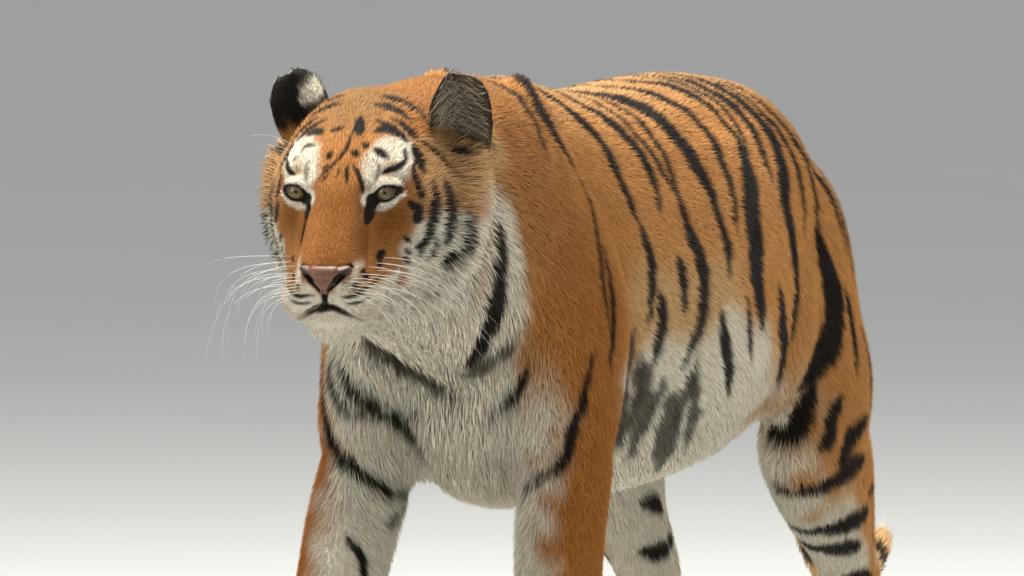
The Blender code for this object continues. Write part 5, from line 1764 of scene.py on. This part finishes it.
def build_whiskers(ground):
    """White whiskers from the lip pads and a few over each eye."""
    mat = finish_of("whisker", 0.35, 60.0, 0.9, 1.05, colour=(0.74, 0.71, 0.64), level=0.4)
    for side, tag in SIDES:
        hairs = []
        for row in range(WHISKER_ROWS):
            for k in range(WHISKERS):
                across = 2.5 + 0.60 * k + 0.2 * row
                high = -6.3 - 0.72 * row + 0.10 * k
                root = ground.place("face", across, high, side)
                if root is None:
                    continue
                length = (0.085 + 0.020 * k) * rng.uniform(0.75, 1.05)
                drop = rng.uniform(0.55, 1.25) + 0.22 * row
                back = rng.uniform(0.15, 0.65)
                line = []
                for s in (m / 10.0 for m in range(11)):
                    x = side * length * (s * 0.86 - 0.22 * s * s)
                    y = -length * (0.34 * s) + length * back * s * s * 1.5
                    z = length * (0.16 * s - drop * 0.62 * s * s)
                    line.append(root + HEAD_TURN @ np.array([x, y, z]))
                hairs.append(whisker(np.array(line) + np.array(MOVE), WHISKER_R))
        for k in range(BROW_HAIRS):
            root = ground.place("face", 3.8 + 0.9 * k, 2.9 + 0.3 * k, side)
            if root is None:
                continue
            length = rng.uniform(0.045, 0.065)
            line = []
            for s in np.linspace(0.0, 1.0, 9):
                curve = np.array([side * (0.4 + 0.15 * k) * s, -0.35 * s, 0.85 * s - 0.5 * s * s])
                line.append(root + HEAD_TURN @ (curve * length))
            hairs.append(whisker(np.array(line) + np.array(MOVE), BROW_HAIR_R))
        ob = fuse(hairs, "whiskers_" + tag)
        ob.data.shade_smooth()
        dress(ob, mat)


# ---------------------------------------------------------------- put together
body = build_skin()
body_v, body_t, _ = read_mesh(body)
ground = Ground(body_v, body_t)
marks = Markings(ground)
grow_body(body, marks)
shells = [body]
colours = [marks.colour(body_v)]
for _, tag in SIDES:
    shell, first_back = build_ear(tag)
    v, t, n = read_mesh(shell)
    inner = EarMarks(tag, True).colour(v[:first_back])
    outer = EarMarks(tag, False).colour(v[first_back:])
    grow_ear(tag, shell, first_back)
    shells.append(shell)
    colours.append(np.vstack([inner, outer]) * 0.8)
skin = fuse(shells, "skin")
tint(skin, np.vstack(colours))
skin.data.transform(Matrix.Translation(MOVE))
skin.data.shade_smooth()
dress(skin, HIDE)
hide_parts(*FLESH)
for side, tag in SIDES:
    build_eye(side, tag)
build_nose()
build_claws()
build_whiskers(ground)

# ---------------------------------------------------------------- floor, light, camera
SPAN = 120.0            # half the floor's side
mesh = bpy.data.meshes.new("floor")
mesh.from_pydata([(-SPAN, -SPAN, 0.0), (SPAN, -SPAN, 0.0), (SPAN, SPAN, 0.0), (-SPAN, SPAN, 0.0)],
                 [], [(0, 1, 2, 3)])
floor = stand("floor", mesh)
mesh.materials.append(finish_of("floor_paint", 0.9, 1.5, 0.98, 1.02, colour=(0.62, 0.63, 0.61), level=0.1))

world = bpy.data.worlds.new("studio")
bpy.context.scene.world = world
world.use_nodes = True
sky = world.node_tree.nodes["Background"]
sky.inputs["Color"].default_value = (0.98, 0.98, 1.0, 1.0)
sky.inputs["Strength"].default_value = 0.55


def lamp(name, at, target, size, power, colour):
    """Large soft light aimed at a place."""
    data = bpy.data.lights.new(name, "AREA")
    data.shape = "DISK"
    data.size = size
    data.energy = power
    data.color = colour
    ob = stand(name, data)
    ob.location = at
    ob.rotation_euler = (Vector(target) - Vector(at)).to_track_quat("-Z", "Y").to_euler()


# a high key light, a weak fill from the front right, and a rim light from behind
lamp("key", (-0.6, 0.2, 5.6), (0.0, -0.2, 0.6), 3.4, 580.0, (1.0, 0.97, 0.92))
lamp("fill", (-3.6, -4.2, 2.6), (0.0, -0.6, 0.7), 3.0, 80.0, (1.0, 0.97, 0.93))
lamp("rim", (2.5, 4.0, 3.6), (0.0, 0.0, 0.6), 3.0, 110.0, (1.0, 0.96, 0.90))

VIEW_AZ = math.radians(19.5)
VIEW_EL = math.radians(3.0)
VIEW_AWAY = 16.47       # from the body's own origin, along the view
VIEW_ACROSS = -0.139    # middle of the picture, across and up
VIEW_UP = 0.6435
LENS = 478.1
right = Vector((math.cos(VIEW_AZ), math.sin(VIEW_AZ), 0.0))
back = Vector((math.sin(VIEW_AZ) * math.cos(VIEW_EL), -math.cos(VIEW_AZ) * math.cos(VIEW_EL),
               math.sin(VIEW_EL)))
up = back.cross(right)
data = bpy.data.cameras.new("camera")
data.lens = LENS
data.sensor_width = 36.0
data.clip_end = 400.0
camera = stand("camera", data)
camera.location = right * VIEW_ACROSS + up * VIEW_UP + back * VIEW_AWAY + MOVE
camera.rotation_euler = Matrix((right, up, back)).transposed().to_euler()
bpy.context.scene.camera = camera
bpy.context.scene.view_settings.view_transform = "Standard"
